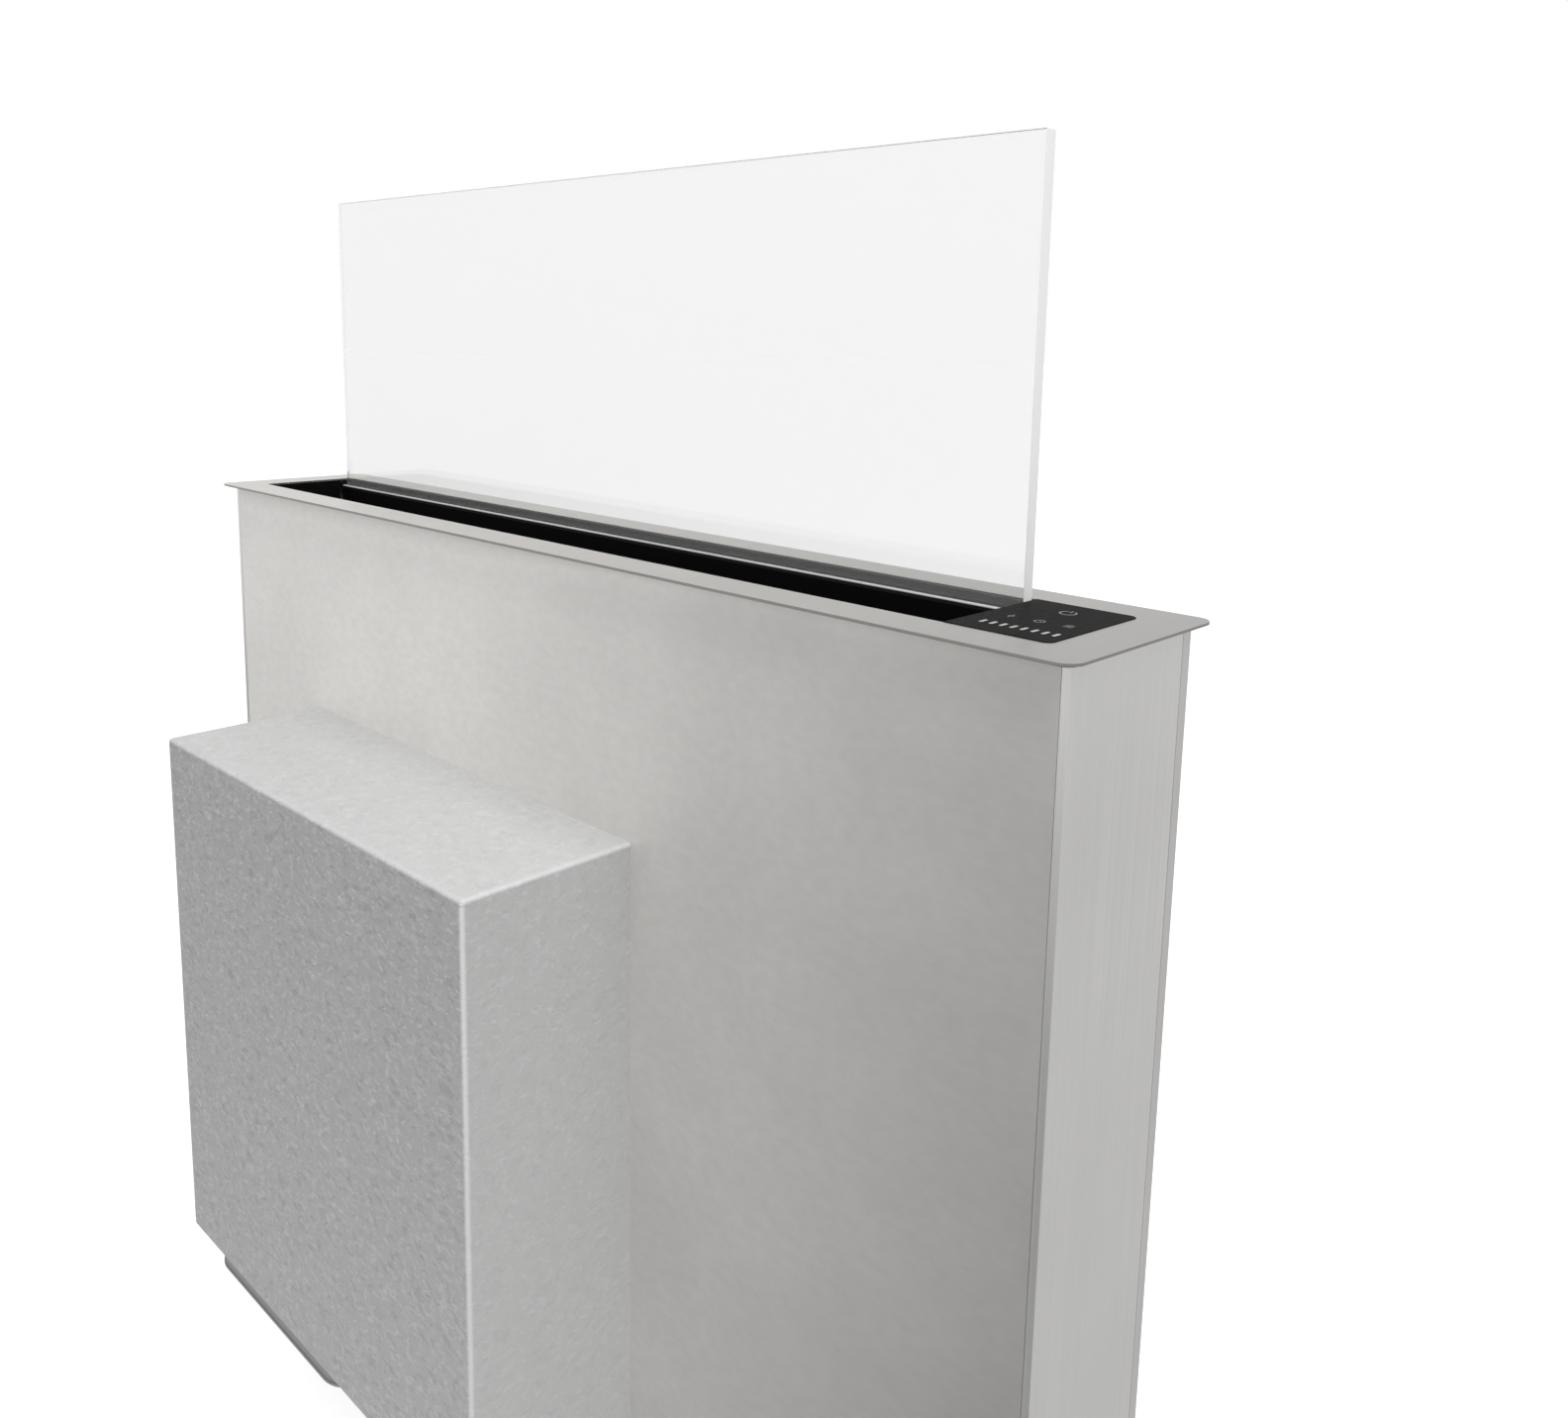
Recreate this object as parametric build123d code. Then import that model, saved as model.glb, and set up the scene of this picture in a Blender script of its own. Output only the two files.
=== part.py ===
from build123d import *
import math
import os

# Pop-up downdraft vent for the strip of worktop behind a cooktop.
#
# Origin at the centre of the worktop cut-out, in the plane of the top frame's underside, which
# lies on a foam seal and so 1 mm above the worktop.
# +X is to the right as the cook sees it, +Y is away from the cook, +Z is up.
# All sizes are millimetres.  The glass is raised, as it is while the vent works.

# ---------------------------------------------------------------- driving dimensions

# Top frame, which rests on the worktop
FRAME_LENGTH = 880.0
FRAME_DEPTH = 142.0
FRAME_THICKNESS = 1.5
FRAME_CORNER = 10.0
SLOT_LEFT = -410.0
SLOT_RIGHT = 410.0
SLOT_FRONT = -42.0
SLOT_REAR = 45.0
SLOT_CORNER = 5.0

# Foam seal between the frame and the worktop
SEAL_THICKNESS = 1.0
SEAL_SETBACK = 3.0
SEAL_CLEARANCE = 0.6

# Body, which hangs through the cut-out
BODY_WIDTH = 864.0
BODY_DEPTH = 119.0
BODY_BOTTOM = -705.0
SHEET = 1.2
CHANNEL_RETURN = 4.5
REAR_RETURN = 8.5
SEAM = 0.3
INNER_FLANGE = 7.0
LIP_LENGTH = 10.0
BOTTOM_TRAY_HEIGHT = 12.5
REAR_SCREW_X = (-330.0, -110.0, 110.0, 330.0)
REAR_SCREW_INSET = 40.0
REAR_SCREW_RADIUS = 2.0
REAR_SCREW_LENGTH = 8.0
REAR_SCREW_HEAD = 4.0
REAR_SCREW_HEAD_HEIGHT = 2.4
SCREW_CLEARANCE = 0.2

# Feet
FOOT_HEIGHT = 25.0
FOOT_WIDTH = 40.0
FOOT_SHEET = 2.0
FOOT_CENTRE_X = 400.0
FOOT_FRONT = -100.0
FOOT_REAR = 71.0
FOOT_TOE_HEIGHT = 8.0
FOOT_SLOT_FRONT = -80.0
FOOT_SLOT_REAR = 63.5
FOOT_SLOT_LENGTH = 20.0
FOOT_SLOT_WIDTH = 7.0
FOOT_BOLT_X = 392.0
FOOT_BOLT_Y = (-35.0, 35.0)
FOOT_BOLT_RADIUS = 3.0
FOOT_BOLT_HEAD = 5.5
FOOT_BOLT_HEAD_HEIGHT = 4.0
FOOT_NUT_HEIGHT = 5.0

# Glass screen and its lift
TRAVEL = 254.0
PARKED_TOP = 0.5
GLASS_LEFT = -406.0
GLASS_RIGHT = 346.0
GLASS_FRONT = 34.0
GLASS_THICKNESS = 8.0
GLASS_FOOT = -29.0
GLASS_BEVEL = 0.8
GASKET = 1.0
CARRIER_LEFT = -409.0
CARRIER_WALL = 1.6
CARRIER_TOP = -4.2
CARRIER_BOTTOM = -72.0
LIGHT_HEIGHT = 3.0

# Rack and pinion drive
MODULE = 2.0
PINION_TEETH = 12
PRESSURE_ANGLE = math.radians(20.0)
BACKLASH = 0.30
ADDENDUM = 0.85 * MODULE
DEDENDUM = 1.20 * MODULE
RACK_WIDTH = 8.0
TEETH_PAST_ENDS = 2
PINION_WIDTH = 9.0
PINION_HUB_RADIUS = 8.0
PINION_HUB_LENGTH = 7.0
SHAFT_Y = 7.5
SHAFT_Z = -300.0
SHAFT_RADIUS = 4.0
BUSH_RADIUS = 9.0
BUSH_LENGTH = 4.2
BUSH_SHEET = 2.2
BUSH_FLANGE_DEPTH = 30.0
BUSH_FLANGE_HEIGHT = 22.0
BUSH_FLANGE_CORNER = 4.0
RUNNING_GAP = 0.05

# Guide rods and the sliders that run on them
ROD_RADIUS = 5.0
ROD_Y = 38.0
ROD_LEFT_X = -421.5
ROD_RIGHT_X = 360.0
ROD_TOP = -26.0
ROD_BOTTOM = -590.0
HOLDER_HEIGHT = 12.0
HOLDER_HALF_DEPTH = 10.0
HOLDER_SLIT = 1.2
SLIDER_HALF_WIDTH = {"left": 8.5, "right": 9.0}
SLIDER_CORNER = 3.0
SLIDER_FRONT = 26.0
SLIDER_REAR = 50.0
SLIDER_UPPER = (-112.0, -42.0)
SLIDER_LOWER = (-318.0, -290.0)

# Right-hand bay for the drive and the electronics
PARTITION_X = 372.5
PARTITION_SHEET = 1.0
PARTITION_FLANGE = 12.0
SHAFT_HOLE = 7.0
GEARBOX_LENGTH = 34.0
GEARBOX_DEPTH = 46.0
GEARBOX_HEIGHT = 56.0
GEARBOX_CORNER = 8.0
GEARBOX_BORE = 26.0
MOTOR_RADIUS = 18.0
MOTOR_LENGTH = 74.0
MOTOR_NECK = 4.0
CAST_EDGE = 2.0
SWITCH_Z = (-128.0, -250.0)
SWITCH_Y = (-4.0, 12.0)
SWITCH_DEPTH = 7.0
SWITCH_HALF_HEIGHT = 10.0
SWITCH_LEVER = 2.5

# Control panel
PANEL_LEFT = 347.3
PANEL_GAP = 0.3
PANEL_TOP = 1.9
PANEL_THICKNESS = 3.4
HOUSING_BOTTOM = -24.0
HOUSING_WALL = 2.0
BOARD_X = (355.0, 405.0)
BOARD_Y = (-34.0, 36.0)
BOARD_Z = (-10.0, -8.4)
BOARD_PILLAR = 2.5
CHIP_X = (365.0, 395.0)
CHIP_Y = (-6.0, 8.0)
CHIP_HEIGHT = 3.0
CONNECTOR_X = (388.0, 404.0)
CONNECTOR_Y = (-8.0, 8.0)
CONNECTOR_DEPTH = 6.0

# Intake liner and grease filters
LINER_SHEET = 1.0
LINER_BOTTOM = -60.0
LINER_FLANGE = 8.0
LEDGE = 6.0
FILTER_GAP = 1.5
FILTER_FRONT = -40.5
FILTER_REAR = 27.0
FILTER_RIM = 7.0
FILTER_DROP = 92.0
FILTER_KEEL = 8.0
FILTER_SHEET = 1.0
MESH_THICKNESS = 4.0
STRAP_WIDTH = 24.0
STRAP_RISE = 9.0
STRAP_SHEET = 1.5
STRAP_FOOT_INSET = 3.0
STRAP_BEND_INSET = 12.0

# Blower
BOX_LEFT = -291.0
BOX_RIGHT = 122.0
BOX_FRONT = -185.0
BOX_TOP = -178.0
BOX_BOTTOM = -599.0
BOX_EDGE = 3.0
BOX_FLANGE = 12.0
BOX_SCREW_INSET_X = 7.0
BOX_SCREW_INSET_Z = 40.0
BLOWER_SCREW_HEAD = 3.5
BLOWER_SCREW_HEIGHT = 2.2
FAN_X = -85.0
FAN_Z = -372.0
SCROLL_SHEET = 2.0
SCROLL_FRONT = -172.5
SCROLL_REAR = -88.5
TONGUE_DISTANCE = 112.0
SCROLL_STEP = 28.0
TONGUE_RADIUS = 6.0
WHEEL_RADIUS = 104.0
WHEEL_EYE = 86.0
WHEEL_FRONT = -165.0
WHEEL_REAR = -96.0
WHEEL_PLATE = 2.0
BLADE_TIP = 102.4
BLADES = 30
BLADE_THICKNESS = 1.2
BLADE_SWEEP = 7.0
BLADE_ENTRY = (1.0, -0.55, 0.0)
BLADE_FLATS = 2
INLET_RADIUS = 80.0
INLET_HOLE = 92.0
INLET_WALL = 1.5
INLET_FLANGE = 12.0
ROTOR_RADIUS = 48.0
ROTOR_WALL = 3.0
ROTOR_DEPTH = 52.0
STATOR_FLANGE_RADIUS = 60.0
STATOR_NECK_RADIUS = 44.0
STATOR_NECK = 5.0
STATOR_CORE_RADIUS = 41.0
STATOR_END_GAP = 8.0

# Outlet collar and its back-draught flaps
COLLAR_LENGTH = 214.0
COLLAR_DEPTH = 84.0
COLLAR_CORNER = 25.0
COLLAR_WALL = 1.5
COLLAR_BOTTOM = -629.0
COLLAR_FLANGE_LENGTH = 223.0
COLLAR_FLANGE_DEPTH = 98.0
COLLAR_FLANGE_CORNER = 4.0
COLLAR_FLANGE_HEIGHT = 2.0
COLLAR_BEAD = 1.0
COLLAR_BEAD_HEIGHT = 2.0
COLLAR_CLEARANCE = 0.3
FLAP_ROD_Z = -588.0
FLAP_ROD_RADIUS = 1.5
FLAP_THICKNESS = 1.5
FLAP_INNER_EDGE = 3.8
FLAP_KNUCKLE_LENGTH = 16.0
FLAP_KNUCKLE_RADIUS = 3.0
FLAP_SIDE_GAP = 3.2
FLAP_END_GAP = 4.0
FLAP_KNUCKLES = ((-90.0, 50.0), (-66.0, 74.0))

# Mains entry, low on the front of the right-hand bay
GLAND_X = 402.0
GLAND_Z = -665.0
GLAND_RADIUS = 8.0
GLAND_BORE = 4.0
GLAND_NUT_RADIUS = 11.0
GLAND_NUT_LENGTH = 6.0
GLAND_OUTER_LENGTH = 16.0
GLAND_INNER_LENGTH = 9.0
GLAND_LOCKNUT_LENGTH = 5.0

# Electronics unit in the right-hand bay
UNIT_Y = (-42.0, 42.0)
UNIT_Z = (-640.0, -450.0)
UNIT_LID = 3.0
UNIT_CORNER = 4.0
UNIT_SOCKET_Y = (-24.0, 0.0, 24.0)
UNIT_SOCKET_WIDTH = 14.0
UNIT_SOCKET_DEPTH = 6.0

# ---------------------------------------------------------------- derived places

HALF_WIDTH = BODY_WIDTH / 2
HALF_DEPTH = BODY_DEPTH / 2
INNER_X = HALF_WIDTH - SHEET
INNER_Y = HALF_DEPTH - SHEET
REAR_SEAM_Y = HALF_DEPTH - REAR_RETURN
GLASS_REAR = GLASS_FRONT + GLASS_THICKNESS
GLASS_TOP = TRAVEL + PARKED_TOP
CARRIER_FRONT = GLASS_FRONT - GASKET - CARRIER_WALL
CARRIER_REAR = GLASS_REAR + GASKET + CARRIER_WALL
FLOOR = BODY_BOTTOM - FOOT_HEIGHT
RACK_PITCH = math.pi * MODULE
RACK_TEETH = math.ceil(TRAVEL / RACK_PITCH) + 2 * TEETH_PAST_ENDS
PITCH_RADIUS = MODULE * PINION_TEETH / 2
COLLAR_X = FAN_X - (TONGUE_DISTANCE + 3 * SCROLL_STEP) + COLLAR_LENGTH / 2 - SCROLL_SHEET
COLLAR_Y = (SCROLL_FRONT + SCROLL_REAR) / 2
COLLAR_SEAT = BOX_BOTTOM + SHEET
FILTER_MIDDLE = (FILTER_FRONT + FILTER_REAR) / 2

LIFT_SIDES = {"left": ROD_LEFT_X, "right": ROD_RIGHT_X}


# ---------------------------------------------------------------- helpers


def slab(x, y, z):
    """A rectangular solid between two limits on each axis."""
    size = (x[1] - x[0], y[1] - y[0], z[1] - z[0])
    centre = ((x[0] + x[1]) / 2, (y[0] + y[1]) / 2, (z[0] + z[1]) / 2)
    return Pos(*centre) * Box(*size)


def rectangle(u, v):
    """A rectangular face between two limits on each of its axes."""
    return Pos((u[0] + u[1]) / 2, (v[0] + v[1]) / 2) * Rectangle(u[1] - u[0], v[1] - v[0])


def along_x(face, start, end):
    """A Y-Z section carried from one X to another."""
    return extrude(Plane.YZ.offset(start) * face, amount=end - start)


def along_y(face, start, end):
    """An X-Z section carried from one Y to a greater one."""
    return extrude(Plane.XZ.offset(-end) * face, amount=end - start)


def along_z(face, bottom, top):
    """A plan section carried from one Z to a greater one."""
    return extrude(Plane.XY.offset(bottom) * face, amount=top - bottom)


def folded_sheet(middle_line, thickness):
    """The section of a folded sheet, from the line through the middle of its thickness."""
    return trace(Polyline(*middle_line), line_width=thickness)


def rod_along_x(radius, start, end, y, z):
    """A round rod parallel to X."""
    return along_x(Pos(y, z) * Circle(radius), start, end)


def rod_along_y(radius, start, end, x, z):
    """A round rod parallel to Y."""
    return along_y(Pos(x, z) * Circle(radius), start, end)


def rod_along_z(radius, bottom, top, x, y):
    """A round rod parallel to Z."""
    return along_z(Pos(x, y) * Circle(radius), bottom, top)


# ---------------------------------------------------------------- top frame


def frame_plate():
    """The flat stainless frame with the intake slot cut through it."""
    outline = RectangleRounded(FRAME_LENGTH, FRAME_DEPTH, FRAME_CORNER)
    slot = RectangleRounded(SLOT_RIGHT - SLOT_LEFT, SLOT_REAR - SLOT_FRONT, SLOT_CORNER)
    slot_y = (SLOT_FRONT + SLOT_REAR) / 2
    return along_z(outline - Pos(0, slot_y) * slot, 0, FRAME_THICKNESS)


def worktop_seal():
    """The foam strip under the overhang of the frame, pressed flat by the vent's weight."""
    length = FRAME_LENGTH - 2 * SEAL_SETBACK
    depth = FRAME_DEPTH - 2 * SEAL_SETBACK
    outline = RectangleRounded(length, depth, FRAME_CORNER - SEAL_SETBACK)
    hole = Rectangle(BODY_WIDTH + 2 * SEAL_CLEARANCE, BODY_DEPTH + 2 * SEAL_CLEARANCE)
    return along_z(outline - hole, -SEAL_THICKNESS, 0)


def slot_liner():
    """The black trough below the slot: a front wall with a filter ledge, and two end walls."""
    half = LINER_SHEET / 2
    front_y = SLOT_FRONT - half
    front_section = folded_sheet(
        [
            (front_y - LINER_FLANGE, -half),
            (front_y, -half),
            (front_y, LINER_BOTTOM - half),
            (front_y + LEDGE, LINER_BOTTOM - half),
        ],
        LINER_SHEET,
    )
    left = SLOT_LEFT - LINER_SHEET
    right = PANEL_LEFT + LINER_SHEET
    front = along_x(front_section, left, right)
    wall_top = PANEL_TOP - PANEL_THICKNESS - PANEL_GAP
    wall_y = (SLOT_FRONT, FILTER_REAR + 2)
    left_wall = slab((left, SLOT_LEFT), wall_y, (LINER_BOTTOM - LINER_SHEET, 0))
    right_wall = slab((right - LINER_SHEET, right), wall_y, (LINER_BOTTOM - LINER_SHEET, wall_top))
    cut_x = (PANEL_LEFT - PANEL_GAP, right + 1)
    cut_y = (SLOT_FRONT - 2 * LINER_FLANGE, SLOT_REAR)
    return front + left_wall + right_wall - slab(cut_x, cut_y, (wall_top, 1))


def rear_liner():
    """The strip that closes the slot behind the glass."""
    half = LINER_SHEET / 2
    wall_y = SLOT_REAR + half
    section = folded_sheet(
        [(wall_y, LINER_BOTTOM), (wall_y, -half), (wall_y + INNER_FLANGE, -half)], LINER_SHEET
    )
    return along_x(section, SLOT_LEFT - LINER_SHEET, PANEL_LEFT)


def filter_rail():
    """The angle between the liner's end walls that carries the rear edge of the filters."""
    section = folded_sheet(
        [
            (FILTER_REAR - LEDGE + 2, LINER_BOTTOM - LINER_SHEET / 2),
            (FILTER_REAR + 1.5, LINER_BOTTOM - LINER_SHEET / 2),
            (FILTER_REAR + 1.5, LINER_BOTTOM + 18),
        ],
        LINER_SHEET,
    )
    return along_x(section, SLOT_LEFT, PANEL_LEFT)


# ---------------------------------------------------------------- control panel


def control_panel():
    """The black glass touch plate that fills the right-hand end of the slot."""
    width = SLOT_RIGHT - PANEL_GAP - PANEL_LEFT
    depth = SLOT_REAR - SLOT_FRONT - 2 * PANEL_GAP
    centre_x = PANEL_LEFT + width / 2
    centre_y = (SLOT_FRONT + SLOT_REAR) / 2
    plate = Pos(centre_x, centre_y) * Rectangle(width, depth)
    plate = fillet(plate.vertices().group_by(Axis.X)[-1], SLOT_CORNER - PANEL_GAP)
    return along_z(plate, PANEL_TOP - PANEL_THICKNESS, PANEL_TOP)


def control_housing():
    """The open plastic tray under the touch plate."""
    left = PANEL_LEFT + 2 * LINER_SHEET + 1
    right = SLOT_RIGHT + 2
    front = SLOT_FRONT + 1
    rear = SLOT_REAR - 1
    top = PANEL_TOP - PANEL_THICKNESS
    middle = Pos((left + right) / 2, (front + rear) / 2)
    outside = middle * RectangleRounded(right - left, rear - front, SLOT_CORNER)
    tray = along_z(outside, HOUSING_BOTTOM, top)
    hollow = offset(outside, amount=-HOUSING_WALL)
    tray -= along_z(hollow, HOUSING_BOTTOM + HOUSING_WALL, top)
    connector_z = (HOUSING_BOTTOM - CONNECTOR_DEPTH, HOUSING_BOTTOM)
    return tray + slab(CONNECTOR_X, CONNECTOR_Y, connector_z)


def control_board():
    """The circuit board of the touch fields with its processor, on four pillars."""
    board = slab(BOARD_X, BOARD_Y, BOARD_Z)
    inset = 2 * BOARD_PILLAR
    half = BOARD_PILLAR
    pillar_z = (HOUSING_BOTTOM + HOUSING_WALL, BOARD_Z[0])
    for x in (BOARD_X[0] + inset, BOARD_X[1] - inset):
        for y in (BOARD_Y[0] + inset, BOARD_Y[1] - inset):
            board += slab((x - half, x + half), (y - half, y + half), pillar_z)
    return board + slab(CHIP_X, CHIP_Y, (BOARD_Z[1], BOARD_Z[1] + CHIP_HEIGHT))


# ---------------------------------------------------------------- body panels


def front_panel():
    """The front wall, folded in at top and bottom, with holes for the fan inlet and the mains."""
    half = SHEET / 2
    wall_y = -HALF_DEPTH + half
    section = folded_sheet(
        [
            (wall_y + INNER_FLANGE, -half),
            (wall_y, -half),
            (wall_y, BODY_BOTTOM + half),
            (wall_y + INNER_FLANGE, BODY_BOTTOM + half),
        ],
        SHEET,
    )
    reach = HALF_WIDTH - CHANNEL_RETURN - SEAM
    panel = along_x(section, -reach, reach)
    panel -= rod_along_y(INLET_HOLE, -HALF_DEPTH - 1, -HALF_DEPTH + 2, FAN_X, FAN_Z)
    panel -= rod_along_y(GLAND_RADIUS, -HALF_DEPTH - 1, -HALF_DEPTH + 2, GLAND_X, GLAND_Z)
    return panel


def side_channel(side):
    """One end wall: a channel with a narrow front return and a stepped lip behind each panel."""
    half = SHEET / 2
    outer = HALF_WIDTH - half
    inner = HALF_WIDTH - CHANNEL_RETURN
    lip_y = -HALF_DEPTH + SHEET + SEAM / 2 + half
    rear_lip_x = INNER_X - SEAM - half
    line = [
        (inner - LIP_LENGTH, lip_y),
        (inner + half, lip_y),
        (inner + half, -HALF_DEPTH + half),
        (outer, -HALF_DEPTH + half),
        (outer, REAR_SEAM_Y - half),
        (rear_lip_x, REAR_SEAM_Y - half),
        (rear_lip_x, INNER_Y - SEAM),
    ]
    wall = along_z(folded_sheet(line, SHEET), BODY_BOTTOM + SHEET + SEAM, -SHEET)
    wall += slab((inner, HALF_WIDTH), (-HALF_DEPTH, REAR_SEAM_Y), (-SHEET, 0))
    wall += slab(
        (inner, HALF_WIDTH),
        (-HALF_DEPTH, REAR_SEAM_Y),
        (BODY_BOTTOM, BODY_BOTTOM + SHEET + SEAM),
    )
    return wall if side == "right" else mirror(wall, about=Plane.YZ)


def rear_screw_places():
    """Where the screws of the rear panel are, in X and Z."""
    rows = (-REAR_SCREW_INSET, BODY_BOTTOM + REAR_SCREW_INSET)
    return [(x, z) for x in REAR_SCREW_X for z in rows]


def rear_panel():
    """The rear wall, folded in at the top and bottom and round both sides."""
    outline = rectangle((-HALF_WIDTH, HALF_WIDTH), (REAR_SEAM_Y + SEAM, HALF_DEPTH))
    inside = rectangle((-INNER_X, INNER_X), (REAR_SEAM_Y, INNER_Y))
    tray = along_z(outline - inside, BODY_BOTTOM, 0)
    flange_y = (HALF_DEPTH - INNER_FLANGE, HALF_DEPTH)
    for bottom in (BODY_BOTTOM, -SHEET):
        tray += slab((-INNER_X + 4, INNER_X - 4), flange_y, (bottom, bottom + SHEET))
    for x, z in rear_screw_places():
        hole = REAR_SCREW_RADIUS + SCREW_CLEARANCE
        tray -= rod_along_y(hole, INNER_Y - 1, HALF_DEPTH + 1, x, z)
    return tray


def bottom_plate():
    """The floor of the body: a shallow folded tray with holes for the foot bolts."""
    x = INNER_X - SHEET - SEAM
    y = INNER_Y - 2 * SHEET
    floor_z = BODY_BOTTOM + SHEET + SEAM
    top = floor_z + BOTTOM_TRAY_HEIGHT
    tray = slab((-x, x), (-y, y), (floor_z, top))
    tray -= slab((-x + SHEET, x - SHEET), (-y + SHEET, y - SHEET), (floor_z + SHEET, top + 1))
    for bolt_x in (-FOOT_BOLT_X, FOOT_BOLT_X):
        for bolt_y in FOOT_BOLT_Y:
            hole = FOOT_BOLT_RADIUS + SCREW_CLEARANCE
            tray -= rod_along_z(hole, floor_z - 1, floor_z + 3, bolt_x, bolt_y)
    return tray


def partition_wall():
    """The sheet that keeps the air path out of the drive and electronics bay."""
    y = INNER_Y - 3 * SHEET
    bottom = BODY_BOTTOM + 3 * SHEET
    top = HOUSING_BOTTOM - 0.5
    half = PARTITION_SHEET / 2
    section = folded_sheet(
        [
            (PARTITION_X + PARTITION_FLANGE, y - half),
            (PARTITION_X + half, y - half),
            (PARTITION_X + half, -y + half),
            (PARTITION_X + PARTITION_FLANGE, -y + half),
        ],
        PARTITION_SHEET,
    )
    wall = along_z(section, bottom, top)
    return wall - rod_along_x(SHAFT_HOLE, PARTITION_X - 1, PARTITION_X + 2, SHAFT_Y, SHAFT_Z)


def foot(side):
    """One floor rail: a C-folded sheet that reaches forward under the blower, with two slots."""
    half = FOOT_SHEET / 2
    inner_x = FOOT_CENTRE_X - FOOT_WIDTH / 2
    wall_x = FOOT_CENTRE_X + FOOT_WIDTH / 2 - half
    section = folded_sheet(
        [
            (inner_x, FLOOR + half),
            (wall_x, FLOOR + half),
            (wall_x, BODY_BOTTOM - half),
            (inner_x + 4, BODY_BOTTOM - half),
        ],
        FOOT_SHEET,
    )
    rail = along_y(section, FOOT_FRONT, FOOT_REAR)
    above_toe = make_face(
        Polyline(
            (FOOT_FRONT - 1, FLOOR + FOOT_TOE_HEIGHT),
            (-HALF_DEPTH - 4, BODY_BOTTOM + 1),
            (FOOT_FRONT - 1, BODY_BOTTOM + 1),
            close=True,
        )
    )
    rail -= along_x(above_toe, inner_x - 1, wall_x + FOOT_SHEET)
    flange_x = (inner_x - 1, wall_x - half)
    flange_z = (BODY_BOTTOM - FOOT_SHEET - 1, BODY_BOTTOM + 1)
    rail -= slab(flange_x, (FOOT_FRONT - 1, -HALF_DEPTH), flange_z)
    rail -= slab(flange_x, (HALF_DEPTH, FOOT_REAR + 1), flange_z)
    slot = SlotOverall(FOOT_SLOT_LENGTH, FOOT_SLOT_WIDTH)
    for y in (FOOT_SLOT_FRONT, FOOT_SLOT_REAR):
        rail -= along_z(Pos(FOOT_CENTRE_X, y) * slot, FLOOR - 1, FLOOR + FOOT_SHEET + 1)
    for y in FOOT_BOLT_Y:
        hole = FOOT_BOLT_RADIUS + SCREW_CLEARANCE
        rail -= rod_along_z(hole, flange_z[0], flange_z[1], FOOT_BOLT_X, y)
    return rail if side == "right" else mirror(rail, about=Plane.YZ)


def foot_bolts():
    """The bolts that join the feet to the bottom plate, with their nuts under the foot rail."""
    bolts = []
    plate_top = BODY_BOTTOM + 2 * SHEET + SEAM
    nut_top = BODY_BOTTOM - FOOT_SHEET
    for x in (-FOOT_BOLT_X, FOOT_BOLT_X):
        for y in FOOT_BOLT_Y:
            hexagon = Pos(x, y) * RegularPolygon(FOOT_BOLT_HEAD, 6)
            bolt = rod_along_z(FOOT_BOLT_RADIUS, nut_top, plate_top, x, y)
            bolt += along_z(hexagon, plate_top, plate_top + FOOT_BOLT_HEAD_HEIGHT)
            bolt += along_z(hexagon, nut_top - FOOT_NUT_HEIGHT, nut_top)
            bolts.append(bolt)
    return Compound(children=[solid for bolt in bolts for solid in bolt.solids()])


def rear_screws():
    """The hexagon screws that hold the rear panel."""
    screws = []
    for x, z in rear_screw_places():
        hexagon = Pos(x, z) * RegularPolygon(REAR_SCREW_HEAD, 6)
        screw = along_y(hexagon, HALF_DEPTH, HALF_DEPTH + REAR_SCREW_HEAD_HEIGHT)
        screw += rod_along_y(REAR_SCREW_RADIUS, HALF_DEPTH - REAR_SCREW_LENGTH, HALF_DEPTH, x, z)
        screws.append(screw)
    return Compound(children=[solid for screw in screws for solid in screw.solids()])


# ---------------------------------------------------------------- glass carriage


def glass_pane():
    """The toughened glass screen with polished edges."""
    z = (GLASS_FOOT, GLASS_TOP)
    pane = slab((GLASS_LEFT, GLASS_RIGHT), (GLASS_FRONT, GLASS_REAR), z)
    return chamfer(pane.edges(), GLASS_BEVEL)


def glass_gasket():
    """The rubber channel between the glass and its carrier."""
    line = [
        (GLASS_FRONT - GASKET / 2, CARRIER_TOP - LIGHT_HEIGHT),
        (GLASS_FRONT - GASKET / 2, GLASS_FOOT - GASKET / 2),
        (GLASS_REAR + GASKET / 2, GLASS_FOOT - GASKET / 2),
        (GLASS_REAR + GASKET / 2, CARRIER_TOP),
    ]
    return along_x(folded_sheet(line, GASKET), GLASS_LEFT, GLASS_RIGHT)


def carriage_profile():
    """The aluminium extrusion that grips the glass, with a hollow beam below the groove."""
    groove_floor = GLASS_FOOT - GASKET
    outline = rectangle((CARRIER_FRONT, CARRIER_REAR), (CARRIER_BOTTOM, CARRIER_TOP))
    groove = rectangle(
        (GLASS_FRONT - GASKET, GLASS_REAR + GASKET), (groove_floor, CARRIER_TOP + 1)
    )
    lamp_seat = rectangle(
        (CARRIER_FRONT - 1, GLASS_FRONT - GASKET), (CARRIER_TOP - LIGHT_HEIGHT, CARRIER_TOP + 1)
    )
    beam = rectangle(
        (CARRIER_FRONT + 2, CARRIER_REAR - 2), (CARRIER_BOTTOM + 2, groove_floor - 2)
    )
    beam = fillet(beam.vertices(), 1.5)
    return along_x(outline - groove - lamp_seat - beam, CARRIER_LEFT, GLASS_RIGHT)


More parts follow.
